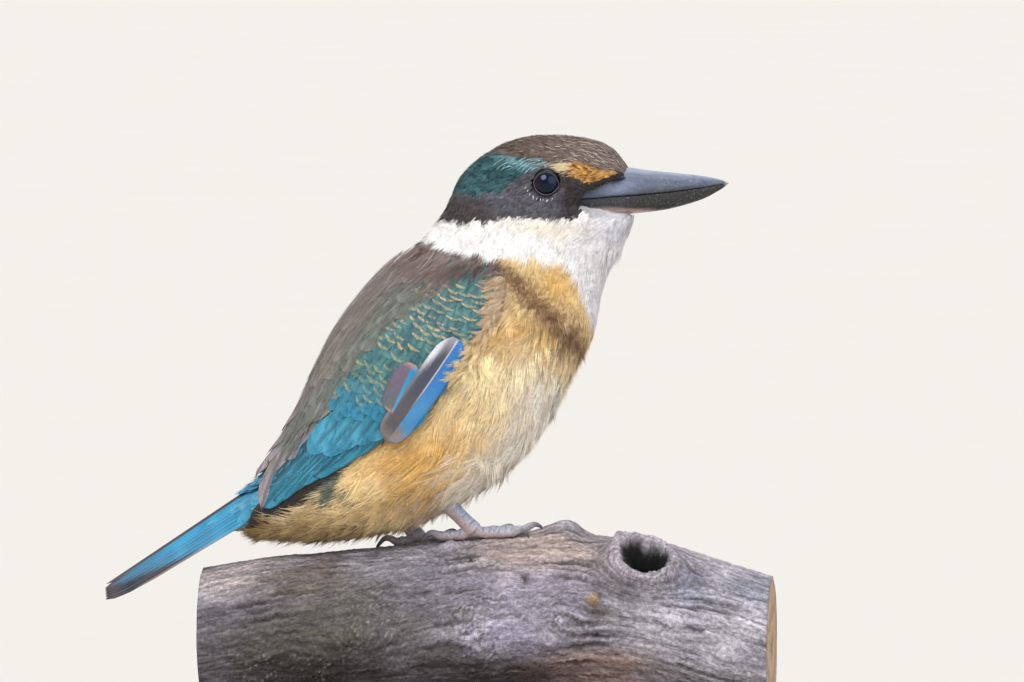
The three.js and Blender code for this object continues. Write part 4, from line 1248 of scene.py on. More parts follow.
def secondary_paint(t, w, p):
    """Blue on the outer web, dark on the inner, and green to buff along the outer rim."""
    base = blend("#2b7893", "#3f90aa", 0.5 + 0.5 * cloud(p, 5, 81))
    return layered(base, [
        ("#1d6f86", step(t, 0.3, 0.9) * 0.3),
        ("#1f2a30", step(-w, 0.15, 0.5) * 0.8),
        ("#2f5a4a", step(w, 0.7, 0.9) * (1 - step(t, 0.5, 0.8)) * 0.8),
        ("#5b7a4e", step(w, 0.86, 1.0) * step(t, 0.5, 0.8) * 0.5),
        ("#a9856a", step(w, 0.9, 1.0) * step(t, 0.82, 0.95) * 0.7),
        ("#123a4c", step(w, 0.72, 0.84) * (1 - step(w, 0.86, 0.95)) * 0.6),
        ("#102a38", (np.abs(w) < 0.1) * 0.6)])


def greater_paint(t, w, p):
    """Blue, greener above and greyer behind."""
    base = blend("#33819e", "#4a9ab6", 0.5 + 0.6 * cloud(p, 6, 82))
    base = blend(base, "#2e7f86", step(p[..., 2], 31, 40) * 0.6)
    base = blend(base, "#5f7f86", step(-p[..., 0], 38, 46) * 0.6)
    return web_tone(base, "#5fb0c8", t, w)


def flights(rng, hand):
    """The primaries and, over them, the secondaries."""
    tips = shaken(rng, PRIMARY_TIPS, 0.15)
    strips = len(PRIMARY_TIPS) + len(SECONDARY_TIPS)
    starts = tips + 34 * np.array([0.80, 0.60]) + [[-0.5, 1.0]]
    rise = np.linspace(0.2, 0.0, len(tips))
    primaries = quill(rng, hand, starts, tips, 6.4, FLIGHT, 0.5 + rise, 0.35 + rise, primary_paint, -0.02,
                      0.15, (0.68, 0.32), 0.03, cell=(0, strips))
    tips = shaken(rng, SECONDARY_TIPS, 0.12)
    starts = up_from(tips, 32, np.radians(np.linspace(37.5, 44, len(tips)))) + [[0, 1.0]]
    rise = np.linspace(0.25, 1.05, len(tips))
    secondaries = quill(rng, hand, starts, tips, 7.0, FLIGHT, 0.35 + rise, 0.45 + rise, secondary_paint, 0.0,
                        0.1, (0.6, 0.4), 0.03, bed=lambda s, a: 0.35 * wing_bed(s, a),
                        cell=(len(PRIMARY_TIPS), strips))
    return [primaries, secondaries]


def greater_coverts(rng, hand):
    """The one row of long coverts over the secondaries."""
    tips = shaken(rng, GREATER_TIPS, 0.35)
    count = len(tips)
    way = np.radians(np.linspace(58, 46, count) + rng.normal(0, 1.0, count))
    starts = up_from(tips, np.linspace(14, 19, count), way)
    rise = np.linspace(0.0, 0.35, count)
    return quill(rng, hand, starts, tips, 7.2, SCAPULAR, 0.15 + rise, 0.5 + rise, greater_paint, 0.0, 0.12,
                 (0.55, 0.45), 0.025, bed=wing_bed)


def barbs_over(rng, hand, s, a, *looks):
    """Fine loose barbs over the wing's feathers, from places on the right side."""
    if hand > 0:
        a = 2 * np.pi - a
    return plume(rng, s, a, VEIL, *looks, shake=0.3, grit=0.12, bed=wing_bed)


def small_coverts(rng, hand):
    """The rows of small coverts, many with a buff band before the tip, and the barbs that blur their
    outlines."""
    tips = shingles(rng, COVERTS_AREA, -112, 2.15, 3.2)
    count = len(tips)
    x, z = tips.T
    front = step(x, -14, 6)
    way = np.radians(52 + 24 * front + rng.normal(0, 4, count))
    long = 8.2 - 1.8 * front + rng.uniform(-0.5, 0.5, count)
    long = np.clip((77 - z) / np.sin(way), 4.5, long)
    banded = rng.uniform(size=count) < np.where(z > 53, 0.9, np.where(z > 38, 0.45, 0.1))
    marked = banded * rng.uniform(0.55, 1, count) * np.where(z > 53, 1, 0.75)
    golden = np.clip((60 - z) / 16, 0, 1)

    def covert_paint(t, w, p):
        """Teal above to blue below, dark before a buff or golden band that is paler at the very tip."""
        base = blend("#305e68", "#4f7f80", 0.5 + 0.6 * cloud(p, 5, 83))
        base = blend(base, "#2a7fa0", step(-z, -48, -34)[:, None] * 0.85)
        base = blend(base, "#3a6a5c", step(z, 62, 74)[:, None] * 0.5)
        tone = web_tone(base, "#5f9796", t, w, 0.45)
        arc = t + 0.055 * np.abs(w) ** 1.6
        band = step(arc, 0.865, 0.9) * (1 - step(arc, 0.95, 0.985) * 0.75)
        tone = blend(tone, "#123f42", step(arc, 0.78, 0.86) * (1 - step(arc, 0.86, 0.9)) * 0.5
                     * marked[:, None])
        ragged = band * np.clip(0.7 + 0.5 * cloud(p, 0.9, 84), 0, 1) * marked[:, None]
        return blend(tone, blend("#d2ad7c", "#b5a04e", golden)[:, None], ragged)

    s, a = roots(rng, 5.4, 12.0, lambda s, a: 2.3 + 0 * s, (0.0, np.pi))
    p = hide(s, a, 0)
    keep = within(p[:, [0, 2]], COVERT_BARBS_AREA)
    s, a, p = s[keep], a[keep], p[keep]
    number = len(s)
    fine = blend("#417478", "#6d9a90", rng.uniform(size=number))
    fine = blend(fine, "#3f93b4", step(-p[:, 2], -46, -34) * 0.9) * rng.uniform(0.8, 1.15, (number, 1))
    length = rng.uniform(2.4, 3.6, number)
    turn = hand * -0.15 * step(-p[:, 0], -6, 10) + rng.normal(0, 0.12, number)
    veil = barbs_over(rng, hand, s, a, length, 1.3, turn, 0.62, 0.95, fine, 0.95)
    width, high = 4.9 + 0.4 * rng.uniform(-1, 1, count), 0.85 + rng.normal(0, 0.07, count)
    return veil, quill(rng, hand, up_from(tips, long, way), tips, width, COVERT, 0.2, high, covert_paint, 0.0,
                       0.06, (0.5, 0.5), 0.035, bed=wing_bed)


def tertial_paint(t, w, p):
    """Grey-brown with faint blue and violet blotches and a buff rim."""
    spread = np.clip(0.5 + 0.5 * cloud(p, 5, 89), 0, 1)
    violet = np.clip(0.7 * cloud(p * [1.6, 1, 1], 2.6, 94) - 0.1, 0, 1)
    base = blend("#727670", "#8b8183", step(t, 0.4, 0.8))
    return layered(base, [
        ("#6488a0", step(w, 0.1, 0.9) * (1 - step(t, 0.6, 0.9)) * spread * 0.7),
        ("#a79a9c", 0.6 * cloud(p * [2.2, 1, 1], 1.6, 90)),
        ("#7a6488", violet * step(t, 0.45, 0.7)),
        ("#a8897f", step(w, 0.3, 0.8) * step(t, 0.6, 0.85) * 0.7),
        ("#c7ab98", step(np.abs(w), 0.86, 1.0) * step(t, 0.4, 0.7) * 0.6),
        ("#5b4d4e", step(0.3 - np.abs(w + 0.45), 0.0, 0.3) * 0.35),
        ("#413838", (np.abs(w) < 0.1) * 0.6)])


def tertials(rng, hand):
    """The five long inner feathers that cover the folded flight feathers."""
    tips = shaken(rng, TERTIAL_TIPS, 0.15)
    starts = up_from(tips, np.array([22, 28, 26, 24, 22]), np.radians(np.array([54, 66, 64, 62, 60])))
    return quill(rng, hand, starts, tips, np.array([8.6, 9.0, 9.0, 8.6, 8.0]), TERTIAL, 0.35,
                 np.array([1.25, 1.4, 1.5, 1.6, 1.7]), tertial_paint, 0.0, 0.08, (0.5, 0.5), 0.03,
                 bed=lambda s, a: 0.6 * wing_bed(s, a), cell=(0, len(tips)))


def scapulars(rng, hand):
    """The shoulder feathers, shorter under the edge of the neck."""
    tips = shingles(rng, SCAPULARS_AREA, -127, 4.2, 4.4)
    count = len(tips)
    x, z = tips.T
    way = np.radians(54 + rng.normal(0, 5, count))
    long = 17.0 + rng.uniform(-1, 1, count)
    ceiling = curve(x, [(-20, 80), (-8, 83.2), (0, 81.0), (6, 79.8), (12, 78.6), (25, 78)]) - 2.2
    long = np.clip((ceiling - z) / np.sin(way), 3.5, long)
    keep = long > 6.5
    tips, way, long, count = tips[keep], way[keep], long[keep], int(keep.sum())
    x, z = tips.T
    starts = up_from(tips, long, way)

    def scapular_paint(t, w, p):
        """Grey-green, brown towards the neck, dark where the shoulder meets the collar."""
        brown = step(z + 0.42 * x + rng.normal(0, 1.0, count), 66.5, 73)[:, None]
        base = blend("#71756b", "#7f8279", 0.5 + 0.6 * cloud(p, 5, 85))
        base = layered(base, [
            ("#5f7d80", step(cloud(p, 7, 86), 0.3, 1.1) * 0.35),
            ("#857a76", step(p[..., 2] - 1.25 * p[..., 0], 86, 94) * 0.7),
            ("#7c6b67", brown * 0.9),
            ("#372b29", blob(p[..., 0], p[..., 2], 4, 75.2, 8, 1.8) * 0.75),
            ("#9a9891", step(np.abs(w), 0.7, 1.0) * 0.4 * (1 - brown)),
            ("#4f524d", step(w, 0.25, 0.6) * (1 - step(w, 0.6, 0.85)) * 0.35 * (1 - brown))])
        return base * (0.78 + 0.22 * np.clip(t * 1.6, 0, 1))[..., None]

    high = 1.0 + rng.normal(0, 0.07, count)
    return quill(rng, hand, starts, tips, np.minimum(8.0, 3.4 + 0.32 * long), SCAPULAR,
                 0.35 - 1.1 * step(starts[:, 1], 70, 80), high, scapular_paint, 0.0, 0.05, (0.5, 0.5), 0.02,
                 bed=wing_bed)


# The lower edge of the shoulder's loose barbs, as a share of the way down by station, and their upper one
# in side view.
SHOULDER_LOW = [(4.9, 0.42), (5.2, 0.42), (5.6, 0.32), (6.05, 0.278), (6.55, 0.27), (7, 0.225), (7.65, 0.19),
                (8.2, 0.18), (8.7, 0.158), (10, 0.14)]
SHOULDER_HIGH = [(-20, 78), (-8, 82), (0, 80), (12, 78)]


def shoulder_barbs(rng, hand):
    """Loose barbs over the shoulder feathers, which veil their edges."""
    s, a = roots(rng, 5.0, 10.6, lambda s, a: 1.5 + 0 * s, (0.0, np.pi))
    p = hide(s, a, 0)
    keep = (share_of(a) < curve(s, SHOULDER_LOW)) & (p[:, 2] < curve(p[:, 0], SHOULDER_HIGH))
    s, a, p = s[keep], a[keep], p[keep]
    x, z = p[:, 0], p[:, 2]
    number = len(s)
    length = rng.uniform(5, 8, number)
    tone = blend("#7b7d76", "#8a7f7a", step(z - 1.25 * x, 84, 94))
    tone = blend(tone, "#86746f", step(z + 0.42 * x, 66, 73))
    tone = blend(tone, "#372b29", blob(x, z, 7, 77, 8, 2.2) * 0.7)
    tone = tone * (1 + rng.normal(0, 0.15, (number, 1)))
    turn = 0.15 * cloud(p, 7, 88) + rng.normal(0, 0.12, number)
    return barbs_over(rng, hand, s, a, length, 0.3 * length, turn, 0.6, 1.25, tone, 0.9)


def wing(side, hand, seed):
    """One folded wing, its feathers laid from the lowest up."""
    rng = rng_for(seed)
    long_ones = flights(rng, hand)
    greater = greater_coverts(rng, hand)
    veil, small = small_coverts(rng, hand)
    coat(f"covert_barbs_{side}", [veil])
    coat(f"wing_coverts_{side}", [greater, small], web_feather, [f"wing_{side}"])
    made = coat(f"flight_feathers_{side}", long_ones, web_feather,
                [f"primaries_{side}", f"wing_{side}"])
    thickened(made, WING_WALL)
    made = coat(f"tertials_{side}", [tertials(rng, hand)], web_feather, [f"wing_{side}"])
    thickened(made, WING_WALL)
    coat(f"scapulars_{side}", [scapulars(rng, hand)], soft_web, [f"wing_{side}"])
    coat(f"shoulder_barbs_{side}", [shoulder_barbs(rng, hand)])


wing("right", -1, 71)
wing("left", 1, 72)

# Two feathers that lie loose over the right wing.
rng = rng_for(75)


def loose_paint(t, w, p):
    """Blue on the outer web, grey with a pale edge on the inner, and a pale shaft."""
    edge = 0.9 - 0.75 * step(t, 0.18, 0.45)
    grey = blend("#3f4250", "#544e52", step(t, 0.4, 0.8))
    onward = step(t, 0.1, 0.4)
    grey = layered(grey, [
        ("#dcdce2", step(-w, 0.35 + 0.3 * onward, 0.75 + 0.2 * onward) * edge),
        ("#a3a4ac", step(0.2 - t, 0, 0.2) * 0.6),
        ("#857873", step(t, 0.85, 1.0) * 0.8)])
    blue = blend("#2f72b2", "#4588b6", step(t, 0.3, 0.65))
    blue = blend(blue, "#3a76bb", 0.4 * cloud(p, 4, 87))
    blue = blend(blue, "#85797a", step(t - 0.05 * w, 0.78, 0.88))
    tone = blend(grey, blue, step(w, 0.03, 0.06))
    return blend(tone, "#c3c0c8", (np.abs(w) < 0.04) * (1 - step(t, 0.4, 0.75)) * 0.75)


def small_paint(t, w, _):
    """Blue on the outer web, brown-grey on the inner, buff at both ends."""
    brown = blend("#66586a", "#5c5f66", step(t, 0.3, 0.9))
    blue = blend("#2a7fae", "#3595c4", step(t, 0.1, 0.8))
    tone = blend(brown, blue, step(w, -0.05, 0.05))
    tone = blend(tone, "#c08f74", step(t, 0.9, 0.99) * 0.8)
    return blend(tone, "#b0806a", step(0.12 - t, 0, 0.1) * 0.7)


long_one = quill(rng, -1, [(3.2, 57.2)], [(-17.4, 28.6)], 8.0, LOOSE, 1.95, 2.15, loose_paint, 0.015, -0.2,
                 (0.52, 0.48), 0.04, bed=wing_bed, cell=(0, 1))
short_one = quill(rng, -1, [(-9.0, 50.0)], [(-15.4, 36.2)], 8.2, SHORT, 1.35, 1.75, small_paint, 0.0, -0.1,
                  (0.52, 0.48), 0.05, bed=wing_bed, cell=(0, 1))
for name, one in (("loose_long_feather", long_one), ("loose_short_feather", short_one)):
    thickened(coat(name, [one], web_feather, ["wing_right"]), WING_WALL)

# -------- tail
TAIL_ROOT, TAIL_TIP = np.array([-54.3, 14.7]), np.array([-98.3, -14.9])
TAIL_RUN = TAIL_TIP - TAIL_ROOT
TAIL_UP = np.array([TAIL_RUN[1], -TAIL_RUN[0]]) / np.linalg.norm(TAIL_RUN)


def tail_point(v, c, lift):
    """The tail's roof: along it by v, across by c of its half-width, its sides falling away and ending
    sooner."""
    half = through([5.6, 6.6, 7.2, 6.2], np.clip(v, 0, 1) * 3)
    drop = 6.5 + (4.0 - 6.5) * v
    along = v * (1 + 0.015 * c * c * v)
    xz = TAIL_ROOT + TAIL_RUN * along[..., None] + TAIL_UP * (lift - c * c * drop)[..., None]
    return np.stack([xz[..., 0], half * c, xz[..., 1]], -1)


def tail_vane(points, faces, tone, u, v, wide, long):
    """One feather for a coat: its unwrapped place, and the place on its vane in centimetres."""
    return {"body": (points, faces), "tone": tone, "bake": np.stack([u, v], -1),
            "vane": np.stack([wide, long], -1) / 10}


rng = rng_for(91)
grid, faces = FLIGHT
t, w, _, _ = grid.T
turned = [f[:, ::-1] for f in faces]
plumes = []
for j in range(-1, 6):
    for hand in ((-1, 1) if j >= 0 else (1,)):
        centre, half = (0.30 + 0.085 * j, 0.34 - 0.012 * j) if j >= 0 else (0.0, 0.36)
        v = -0.14 + t * (1.135 + 0.003 * j if j >= 0 else 1.122)
        c = hand * np.clip(centre + half * w, -0.03 if j >= 0 else -1, 1.02)
        lift = 0.85 - 0.17 * j - 0.10 * w * w + 0.07 * (np.abs(w) < 0.1) + 0.45 * np.exp(-(c / 0.2) ** 2)
        p = tail_point(v, c, lift)
        dark_from = 0.93 - 0.1 * j
        tone = blend("#1f7ba4", "#3390b8", 0.5 + 0.5 * cloud(p, 6, 92))
        tone = layered(tone, [
            ("#3f5f76", step(t, 0.55, 0.92) * 0.85),
            # Dark along the tail's middle: painted shade of the central feathers' edge, which is seen side
            # on.
            ("#3d343c", 1 - step(np.abs(c), 0.2, 0.27)),
            ("#2a2428", step(t, dark_from, dark_from + 0.18) * (j > 0) * 0.96),
            ("#22465a", step(w, 0.3, 0.55) * (1 - step(w, 0.7, 0.85)) * (j in (2, 4)) * 0.85),
            ("#57494a", step(t, 0.88, 0.99) * 0.85),
            ("#ab9488", step(w, 0.84, 0.97) * step(t, 0.25, 0.5) * (0.8 if j == 5 else 0.15)),
            ("#2a3a4a", (np.abs(w) < 0.1) * 0.5)])
        plumes.append(tail_vane(p, turned if hand > 0 else faces, tone, strip(j * 2 + (hand > 0) + 1, 13, w),
                           0.03 + 0.9 * t, w * 3, t * 52))
thickened(coat("tail_feathers", plumes, web_feather, ["tail"]), TAIL_WALL)

# Long soft feathers over the tail's base, in overlapping ranks from the rump backwards.
grid, faces = SCAPULAR
t, w, _, _ = grid.T
plumes = []
for rank, (start, reach) in enumerate([(-0.05, 0.33), (-0.12, 0.32), (-0.20, 0.32), (-0.28, 0.31),
                                       (-0.36, 0.30)]):
    for k, centre in enumerate(np.linspace(-0.86, 0.86, 7 + rank % 2)):
        v = start + reach * t * (1 - 0.25 * centre ** 2) * rng.uniform(0.8, 1.15)
        c = centre * (1 + 0.15 * step(-v, 0, 0.3)) + (0.26 - 0.1 * t) * w + rng.normal(0, 0.02)
        c = np.clip(c, -1.1, 1.1)
        lift = 0.82 + 0.13 * rank * (1 - t) + 0.5 * t * (1 - t) - 0.2 * w * w + 4.0 * step(-v, 0.0, 0.42)
        p = tail_point(v, c, lift)
        mix = 0.5 + 0.3 * rng.normal() + 0.4 * cloud(p, 3, 93) + 0.3 * np.sin(w * 9)
        tone = blend(blend("#3d7f9e", "#6aa3bc", mix), "#a9c9d4", step(np.abs(w), 0.7, 1.0) * 0.3)
        tone = tone * (0.7 + 0.25 * np.clip(2 * t, 0, 1))[:, None]
        # The same painted shade along the tail's middle, on the coverts' rear ends.
        tone = blend(tone, "#3d343c", (1 - step(np.abs(c), 0.17, 0.34)) * step(v, -0.16, -0.06))
        plumes.append(tail_vane(p, faces, tone, strip(rank, 5, w), (k + 0.05 + 0.9 * t) / 8, w * 2.6, t * 16))
coat("tail_coverts", plumes, soft_web, ["tail"])

# Soft undertail coverts from the vent along the tail's underside, a trough from one lower edge to the other.
turned = [f[:, ::-1] for f in faces]
plumes = []
for rank, (start, reach, rise) in enumerate([(-0.34, 0.46, 0.0), (-0.24, 0.48, 0.3), (-0.12, 0.43, 0.8)]):
    for k, centre in enumerate(np.linspace(-0.85, 0.85, 8)):
        v = start + reach * t * (1 - 0.1 * centre ** 2) * rng.uniform(0.88, 1.1)
        c = centre * (1 - 0.1 * t) + 0.26 * w
        level = -10.3 + 3.9 * t ** 5 + rise + 0.3 * w * w
        level = level + (-6.0 - level) * c * c
        p = tail_point(v, c, c * c * (6.5 - 2.5 * v) + level)
        tone = blend("#c0a679", "#8b7350", 0.5 + 0.4 * rng.normal() + 0.4 * cloud(p, 2, 94))
        tone = blend(tone, "#7b6547", step(t, 0.6, 1.0) * 0.6)
        plumes.append(tail_vane(p, turned, tone, strip(rank, 3, w), (k + 0.05 + 0.9 * t) / 8, w * 2.6,
                                t * 22))
coat("undertail_coverts", plumes, soft_web)

# -------- bill
# Its top, its cutting edge and its underside in side view, each from the gape to the tip.
CULMEN = [[34.0, 101.4], [40.6, 104.4], [47.6, 104.5], [54.7, 103.6], [62.2, 102.9], [69.7, 102.1],
          [74.4, 101.2], [76.8, 100.3]]
EDGE = [[34.0, 95.9], [38.6, 96.1], [46.0, 96.7], [53.6, 97.2], [61.2, 97.9], [69.0, 98.9], [74.2, 99.8],
        [76.8, 100.1]]
KEEL = [[34.0, 92.6], [39.0, 91.2], [46.4, 91.4], [53.6, 92.0], [60.8, 93.1], [69.2, 95.6], [74.4, 98.3],
        [76.6, 99.9]]
# Half the bill's width at the same eight places.
BILL_HALF = [8.0, 7.9, 6.8, 5.2, 3.8, 2.4, 1.15, 0.25]


def bill_half(side):
    """Upper (side 1) or lower (side -1) half of the bill: an arch from edge to edge over its ridge, closed
    by a slightly hollow inner face."""
    v = np.linspace(0, 7, 260)
    ridge, edge, half = through(CULMEN if side > 0 else KEEL, v), through(EDGE, v), through(BILL_HALF, v)
    angle = np.concatenate([np.linspace(0, np.pi, 72), np.linspace(np.pi, 2 * np.pi, 22)[1:-1]])
    arch = angle <= np.pi
    rise = np.where(arch, np.sin(np.minimum(angle, np.pi)) ** 0.8, 0.14 * np.sin(angle - np.pi))
    width = np.sign(np.cos(angle)) * np.abs(np.cos(angle)) ** 0.8
    away = ridge - edge
    mid = edge + np.array([0, 0.04 * side]) * np.minimum(1, half / 2)[:, None]
    xz = mid[:, None] + away[:, None] * rise[None, :, None]
    y = half[:, None] * width[None] * (1 if side > 0 else 0.95)
    points = np.stack([xz[..., 0], y, xz[..., 1]], -1)
    share = rise[None] * arch + 0 * y
    return points, share


def bill_tone(points, share, upper):
    """Slate blue above, lighter towards the ridge by a painted sheen, with a dark cutting edge; black below
    with a pink base; both worn pale at the tip.
    """
    x, z = points[..., 0], points[..., 2]
    rough = cloud(points, 1.3, 51) * 0.5 + cloud(points, 3.5, 52) * 0.5
    if upper:
        # Lighter towards the ridge: painted sheen.
        tone = blend("#535b70", "#7f879c", step(share, 0.55, 1.0) * 0.8)
        tone = layered(tone, [
            ("#2e323b", step(0.4 - share, 0, 0.34) * step(x, 44, 56) * 0.85),
            ("#8f98b5", blob(x, z, 45, 99.5, 5, 2.2) * 0.6),
            ("#56584f", step(rough, 0.2, 1.2) * 0.5 * step(x, 46, 60))])
    else:
        tone = blend("#1f2022", "#2c2a20", step(rough, -0.2, 1.0) * step(x, 50, 62) * 0.8)
        tone = blend(tone, "#383d45", (1 - step(x, 42, 54)) * 0.7)
        onward = step(x, 42, 54)
        pink = step(share, 0.42 + 0.25 * onward, 0.72 + 0.2 * onward) * (1 - step(x, 51, 58))
        tone = blend(tone, "#bda096", pink * 0.9)
    return blend(tone, "#b9b0a2", step(x, 75.2, 76.6) * 0.8)


# Bill horn: a keratin sheath, satin, finely grained along its length and a little chalky where it is worn.
ALONG_BILL = (0.22, 1.0, 1.0)
bill_horn = material("bill_horn", veil=("#8f8c80", 0.22, 2, -0.99, 0.45),
                     grain=(0.5, 4, 0.8, 1.18, ALONG_BILL), rough=(1.2, 3, 0.3, 0.5),
                     bump=(0.4, 4, 0.5, 0.08, ALONG_BILL), Specular_IOR_Level=0.5)
for name, node_name, side in (("upper_mandible", "bill_upper", 1), ("lower_mandible", "bill_lower", -1)):
    points, share = bill_half(side)
    x, z = points[..., 0], points[..., 2]
    lumps = 0.05 * cloud(points, 2.4, 53) + 0.03 * cloud(points, 0.9, 54)
    if side > 0:
        slit = np.exp(-((x - 46.4) / 1.6) ** 4 - ((z - 101.4 - 0.12 * (x - 46.4)) / 0.34) ** 2)
        hollow = blob(x, z, 44.6, 101.0, 2.8, 1.0)
        groove_line = curve(x, [(44, 101.0), (50, 100.6), (60, 100.4), (70, 100.6)])
        groove = np.exp(-((z - groove_line) / 0.5) ** 2) * step(x, 44, 48) * (1 - step(x, 58, 66))
        lumps = lumps - 1.1 * slit - 0.35 * hollow - 0.1 * groove
    else:
        chips = np.maximum(cloud(points, 1.1, 55) - 0.6, 0) * step(x, 55, 60) * step(share, 0.5, 0.9)
        lumps = lumps + 0.12 * chips
    points[..., 1] += np.sign(points[..., 1]) * lumps * step(share, 0.03, 0.3)
    tone = bill_tone(points, share, side > 0)
    if side > 0:
        # The nostril slit is painted near black and the hollow before it darker: painted shade in the opening
        # and the dip.
        tone = blend(tone, "#14151a", slit * 0.95)
        tone = blend(tone, "#2a2d36", hollow * 0.3)
    piece(name, shell(points), bill_horn, [node_name],
          capped(tone))

# -------- eyes
# A wet cornea over a dark brown iris: the ball is almost black and mirror smooth.
# Its reflections are tinted blue: a painted reflection of a blue sky.
wet_eye = material("wet_dark_eye", grain=(0.4, 3, 0.7, 1.3), Roughness=0.06, Specular_IOR_Level=0.5,
                   Specular_Tint=(0.42, 0.55, 1.0, 1.0))
# The lids are bare skin beaded with tiny scales.
lid_skin = material("beaded_lid_skin", grain=(0.3, 3, 0.8, 1.2), Roughness=0.5)

# The lid's rim is a ring of this many places round, each a loop of this many points.
LID_ROUND, LID_LOOP = 264, 14

for side, hand in (("right", -1), ("left", 1)):
    centre = EYE * [1, -hand, 1]
    # q is the angle from the middle of the cornea, and r the angle round it.
    q, r = np.meshgrid(np.linspace(0.02, np.pi - 0.02, 72), np.linspace(0, 2 * np.pi, 96, endpoint=False),
                       indexing="ij")
    ball = np.stack([np.sin(q) * np.cos(r), hand * np.cos(q), np.sin(q) * np.sin(r)], -1)
    bulge = 1 + 0.03 * np.exp(-(q / 0.55) ** 2)
    points = centre + EYE_RADIUS * ball * bulge[..., None]
    tone = blend("#0d0a0c", "#04050a", 1 - step(q, 0.36, 0.42))
    tone = blend(tone, "#070607", step(q, 0.75, 0.9))
    piece(f"eye_{side}_ball", shell(points), wet_eye, [f"eye_{side}"], capped(tone))

    r = np.linspace(0, 2 * np.pi, LID_ROUND, endpoint=False)
    front = np.exp(-((r - 6.1) / 0.3) ** 2) + np.exp(-((r + 0.18) / 0.3) ** 2)
    back = np.exp(-((r - 3.05) / 0.35) ** 2)
    wide = 3.35 + 0.35 * front + 0.15 * back
    lid_line = np.stack([wide * np.cos(r), 0 * r, 3.2 * np.sin(r)], -1)
    reach = np.hypot(lid_line[:, 0], lid_line[:, 2])
    lid_line[:, 1] = hand * (np.sqrt(np.maximum(4.55 ** 2 - reach ** 2, 0)) - 0.02)
    angle = np.linspace(0, 2 * np.pi, LID_LOOP, endpoint=False)
    out = unit(lid_line * [1, 0, 1])
    beads = 1 + 0.16 * np.cos(r * 44)
    radial = 0.22 * np.cos(angle)[None] * beads[:, None]
    height = 0.24 * np.sin(angle)[None] * beads[:, None]
    ring = lid_line[:, None] + out[:, None] * radial[..., None] + np.array([0, hand, 0]) * height[..., None]
    lid_points = (ring + centre).reshape(-1, 3)
    last, wrap = (LID_ROUND - 1) * LID_LOOP, np.arange(LID_LOOP)
    ahead = (wrap + 1) % LID_LOOP
    quads = np.concatenate([grid_faces(LID_ROUND, LID_LOOP, True),
                            np.stack([last + wrap, wrap, ahead, last + ahead], -1)])
    if hand > 0:
        quads = quads[:, ::-1]
    shade = blend("#28262b", "#6a6972", step(-np.cos(angle), 0.1, 0.9)[None] + 0 * radial)
    piece(f"lid_{side}", (lid_points, [quads]), lid_skin, [f"eye_{side}"],
          shade.reshape(-1, 3))

# -------- driftwood perch
def lattice(u, v, seed):
    """Smooth random unevenness of two coordinates, one blotch to a unit."""
    table = rng_for(seed).uniform(-1, 1, (64, 64))
    i, j = np.floor(u).astype(int), np.floor(v).astype(int)
    f, g = u - i, v - j
    f, g = f * f * (3 - 2 * f), g * g * (3 - 2 * g)
    at = lambda a, b: table[a % 64, b % 64]
    near, far = (at(i, k) * (1 - f) + at(i + 1, k) * f for k in (j, j + 1))
    return near * (1 - g) + far * g


# Knots on the driftwood's side that faces the viewer: place in side view, radius and rise. The last one is
# the stub of a twig.
KNOTS = [(28.0, -26.6, 2.3, 1.5), (-1.0, -1.5, 2.6, 1.3), (-21.0, -24.0, 4.2, 1.3), (9.0, -27.0, 3.6, 1.2),
         (62.0, -21.5, 2.4, 0.9), (-46.0, -33.0, 3.0, 0.9), (5.5, -20.0, 2.8, 0.8), (33.0, -22.0, 2.0, 0.7),
         (78.0, -30.0, 2.6, 0.8), (46.6, 2.6, 1.5, 2.3), (40.8, -15.6, 1.6, 3.9)]
# Zones of rough crust in side view: place and radius.
CRUST = [(-21, -24, 8), (9, -27, 7), (5, -20, 5), (-55, -38, 7), (-36, -38, 7), (30, -21, 4), (0, -2, 4),
         (62, -22, 4)]

x, angle = np.meshgrid(np.linspace(PERCH_FROM, PERCH_TO, 372),
                       np.linspace(-np.pi, np.pi, 236, endpoint=False), indexing="ij")
girth, middle = perch_line(x)
arc = angle * girth
base_radius = perch_radius(x, angle)
plain = np.stack([x, np.sin(angle) * base_radius, middle + np.cos(angle) * base_radius], -1)
z = plain[..., 2]
front = step(-np.sin(angle), -0.25, 0.15)
seam = 1 - step(np.abs(angle), 2.8, 3.1)
grain, bumps, boss = arc.copy(), 0 * x, 0 * x
for kx, kz, size, rise in KNOTS:
    near = np.argmin(np.hypot(plain[..., 0] - kx, plain[..., 2] - kz) + 99 * (plain[..., 1] > 0))
    dx, dy = x - kx, arc - arc.flat[near]
    far = np.hypot(dx * 0.85, dy) * (1 + 0.12 * cloud(plain, size, 60))
    grain = grain - dy * size ** 2 * 1.3 / (far ** 2 + size ** 2)
    bumps = bumps + rise * np.exp(-(far / size) ** 2)
    boss = np.maximum(boss, np.exp(-(far / (size * 0.8)) ** 2))
    if rise < 2:
        bumps = bumps - 0.5 * rise * np.exp(-(np.hypot(dx, dy * 1.6) / (size * 0.32)) ** 2)
